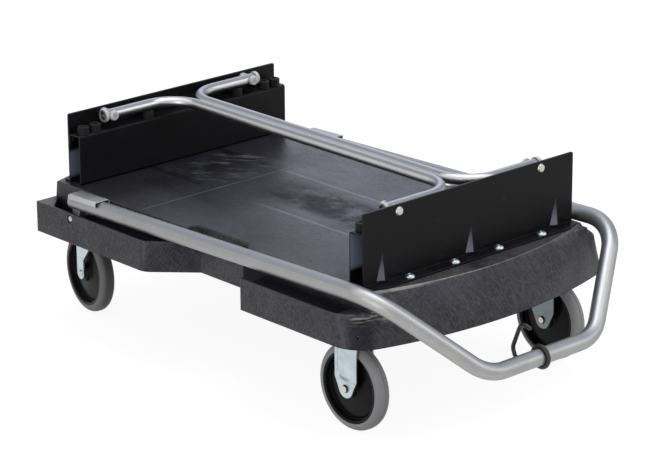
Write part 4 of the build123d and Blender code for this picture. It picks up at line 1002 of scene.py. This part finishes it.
def tube(line, radius, wall, steps):
    """Thick tube: P(s, t) = L(s) + r (cos t S + sin t U), out along r and back along r - wall."""
    ahead = np.gradient(line, axis=0)
    ahead[1:-1] = line[2:] - line[:-2]
    ahead /= np.linalg.norm(ahead, axis=1, keepdims=True)
    side = np.cross((0.0, 0.0, 1.0), ahead)
    side /= np.linalg.norm(side, axis=1, keepdims=True)
    up = np.cross(ahead, side)
    t = np.linspace(0, 2 * pi, steps, endpoint=False)
    ring = np.cos(t)[None, :, None] * side[:, None] + np.sin(t)[None, :, None] * up[:, None]
    grid = np.vstack([line[:, None] + radius * ring, (line[:, None] + (radius - wall) * ring)[::-1]])
    run = np.concatenate([[0.0], np.cumsum(np.linalg.norm(np.diff(line, axis=0), axis=1))])
    run = np.concatenate([run, run[::-1], run[:1]])
    round_tube = np.linspace(0, 2 * pi, steps + 1) * radius
    uv = np.stack(np.broadcast_arrays(round_tube[None, :], run[:, None]), axis=2)
    return grid, uv


print("tube helper ready")

# %% Push handle
handle_r, handle_wall = 0.012, 0.0016
knee_bend, bar_bend = 0.075, 0.065
hinge = np.array(joints["handle_fold"]["pos_m"])
tilt = radians(1.61)
leg_y, leg_z = 0.2316, hinge[2] + 0.022
dogleg_x, bar_x, bar_z = MIDDLE + 0.376, MIDDLE + 0.459, joints["hook_turn"]["pos_m"][2]
bar_half = 0.1035
behind = 0.0125
tail = (hinge[0] - behind * cos(tilt), -leg_y, leg_z - behind * sin(tilt))
knee = (dogleg_x, -leg_y, leg_z + (dogleg_x - hinge[0]) * np.tan(tilt))
right_half = np.array([tail, knee, (bar_x, -bar_half, bar_z)])
handle_corners = np.vstack([right_half, right_half[::-1] * (1, -1, 1)])
handle_line = bent_line(handle_corners, (knee_bend, bar_bend, bar_bend, knee_bend))
grid, uv = tube(handle_line, handle_r, handle_wall, steps=64)
mesh = sheet_mesh("push_handle_tube", grid, uv)
piece("push_handle_tube", mesh, "push_handle", "satin_aluminium", handle_tube, "push_handle")
print("handle swept along", round(float(uv[..., 1].max()), 3), "m")

# %% Rails
rail_r, rail_wall, rail_bend = 0.008, 0.0015, 0.053
arm_x, bar_y, arm_end = 0.302, 0.01025, 0.150
for name, side in (("right", -1), ("left", 1)):
    rail_z = joints[f"{name}_rail_fold"]["pos_m"][2]
    route = [(MIDDLE - arm_x, side * arm_end, rail_z), (MIDDLE - arm_x, side * bar_y, rail_z),
             (MIDDLE + arm_x, side * bar_y, rail_z), (MIDDLE + arm_x, side * arm_end, rail_z)]
    grid, uv = tube(bent_line(route, (rail_bend, rail_bend)), rail_r, rail_wall, steps=56)
    mesh = sheet_mesh(f"{name}_rail_tube", grid, uv)
    piece(f"{name}_rail_tube", mesh, f"{name}_rail", "satin_aluminium", rail_tube, f"{name}_rail")
print("rails swept along", round(float(uv[..., 1].max()), 3), "m each")

# %% [markdown]
# ## Screw heads
# The screws that hold the end plates have round domes on a washer face. They are turned like the wheels,
# and the eight of them share one profile and one mesh.

# %% Dome screws
screw_x, screw_pitch, foot_sheet = 0.3325, 0.0856, 0.0025
dome = np.radians(np.linspace(8, 70, 9))
crown = np.stack([0.9 + 3.6 * np.sin(dome) / np.sin(dome[-1]), 6.9 * np.cos(dome)], axis=1)
washer = [(-9.0, 0.05), (-9.0, 2.9), (0.0, 2.9), (0.02, 7.15), (0.7, 7.2), (0.95, 6.95)]
socket = [(4.35, 1.7), (3.4, 1.3), (3.2, 0.05)]
screw_profile = np.vstack([washer, crown, socket])
seat = DECK_TOP + foot_sheet
spots = [(MIDDLE + end * screw_x, (n - 1.5) * screw_pitch, seat) for end in (1, -1) for n in range(4)]
grid = np.stack([turned(screw_profile, spot, (0.0, 0.0, 1.0), 40) for spot in spots])
mesh = sheet_mesh("end_plate_screw_domes", grid, sharp=35)
piece("end_plate_screw_domes", mesh, "chassis", "zinc_steel", zinc_plate, "end_plate_screws")
print("dome screws", len(spots))

# %% [markdown]
# ## Floor, light and camera
# A pale floor and a pale world stand in for a photo studio. The world lights the cart at a plain level.
# Rays from the camera, or from a glossy or clear surface, see both as white, and the floor keeps the
# shadow. Four soft lamps shape the cart: cool ones above and behind it, plain ones right of it and near.

# %% Pale floor


def seen_rays(tree):
    """One for rays that come from the camera or from a glossy or clear surface, else zero."""
    path = put(tree, "ShaderNodeLightPath").outputs
    seen = calc(tree, "MAXIMUM", path["Is Camera Ray"], path["Is Glossy Ray"])
    return calc(tree, "MAXIMUM", seen, path["Is Transmission Ray"])


reach = 6.0
plane = bpy.data.meshes.new("pale_floor")
floor_corners = [(-reach, -reach, 0), (reach, -reach, 0), (reach, reach, 0), (-reach, reach, 0)]
plane.from_pydata(floor_corners, [], [(0, 1, 2, 3)])
floor = bpy.data.objects.new("pale_floor", plane)
bpy.context.scene.collection.objects.link(floor)
floor_paint = bpy.data.materials.new("pale floor")
floor_paint.use_nodes = True
tree = floor_paint.node_tree
tree.nodes.clear()
matt = put(tree, "ShaderNodeBsdfDiffuse", {"Color": (0.16, 0.16, 0.16, 1.0)})
strength = fade(tree, seen_rays(tree), 0.0, 1.0, 0.08, 0.91)
glow = put(tree, "ShaderNodeEmission", {"Color": (1, 1, 1, 1), "Strength": strength})
both = put(tree, "ShaderNodeAddShader", {0: matt.outputs[0], 1: glow.outputs[0]})
put(tree, "ShaderNodeOutputMaterial", {"Surface": both.outputs[0]})
plane.materials.append(floor_paint)
print("floor", floor.name)

# %% World and lamps
world = bpy.data.worlds.new("studio")
bpy.context.scene.world = world
world.use_nodes = True
tree = world.node_tree
tree.nodes.clear()
strength = fade(tree, seen_rays(tree), 0.0, 1.0, 0.75, 1.0)
sky = put(tree, "ShaderNodeBackground", {"Color": (1, 1, 1, 1), "Strength": strength})
put(tree, "ShaderNodeOutputWorld", {"Surface": sky.outputs[0]})


def softbox(name, place, size, power, colour=(1.0, 1.0, 1.0)):
    """Square soft lamp that points at the cart."""
    lamp = bpy.data.lights.new(name, "AREA")
    lamp.size = size
    lamp.energy = power
    lamp.color = colour
    holder = bpy.data.objects.new(name, lamp)
    holder.location = place
    target = Vector((0, 0, 0.15))
    holder.rotation_euler = (target - Vector(place)).to_track_quat("-Z", "Y").to_euler()
    bpy.context.scene.collection.objects.link(holder)


softbox("overhead_softbox", (0.1, 0.2, 2.8), 1.3, 21.0, (0.85, 0.89, 1.0))
softbox("right_softbox", (2.4, 1.5, 1.5), 1.6, 16.0)
softbox("back_softbox", (-2.2, 2.4, 1.2), 2.0, 8.0, (0.62, 0.64, 1.0))
softbox("near_softbox", (0.9, -3.0, 0.45), 0.8, 17.0)
print("lamps", len(bpy.data.lights))

# %% Camera at the photo's angle
azimuth, elevation, roll = radians(47.8), radians(18.9), radians(-0.4)
camera_place = (MIDDLE + 2.9907, -2.6922, 1.5510)
back = Vector((cos(elevation) * sin(azimuth), -cos(elevation) * cos(azimuth), sin(elevation)))
right = Vector((cos(azimuth), sin(azimuth), 0))
up = back.cross(right)
right, up = right * cos(roll) + up * sin(roll), up * cos(roll) - right * sin(roll)
lens = bpy.data.cameras.new("photo_camera")
lens.sensor_fit = "HORIZONTAL"
lens.sensor_width = 36.0
lens.lens = 161.2
lens.clip_start, lens.clip_end = 0.05, 60.0
camera = bpy.data.objects.new("photo_camera", lens)
turn = Matrix((right, up, back)).transposed().to_4x4()
camera.matrix_world = Matrix.Translation(camera_place) @ turn
bpy.context.scene.collection.objects.link(camera)
bpy.context.scene.camera = camera
bpy.context.scene.view_settings.view_transform = "Standard"
print("camera", [round(v, 3) for v in camera.location])

# %% Update the scene
bpy.context.view_layer.update()
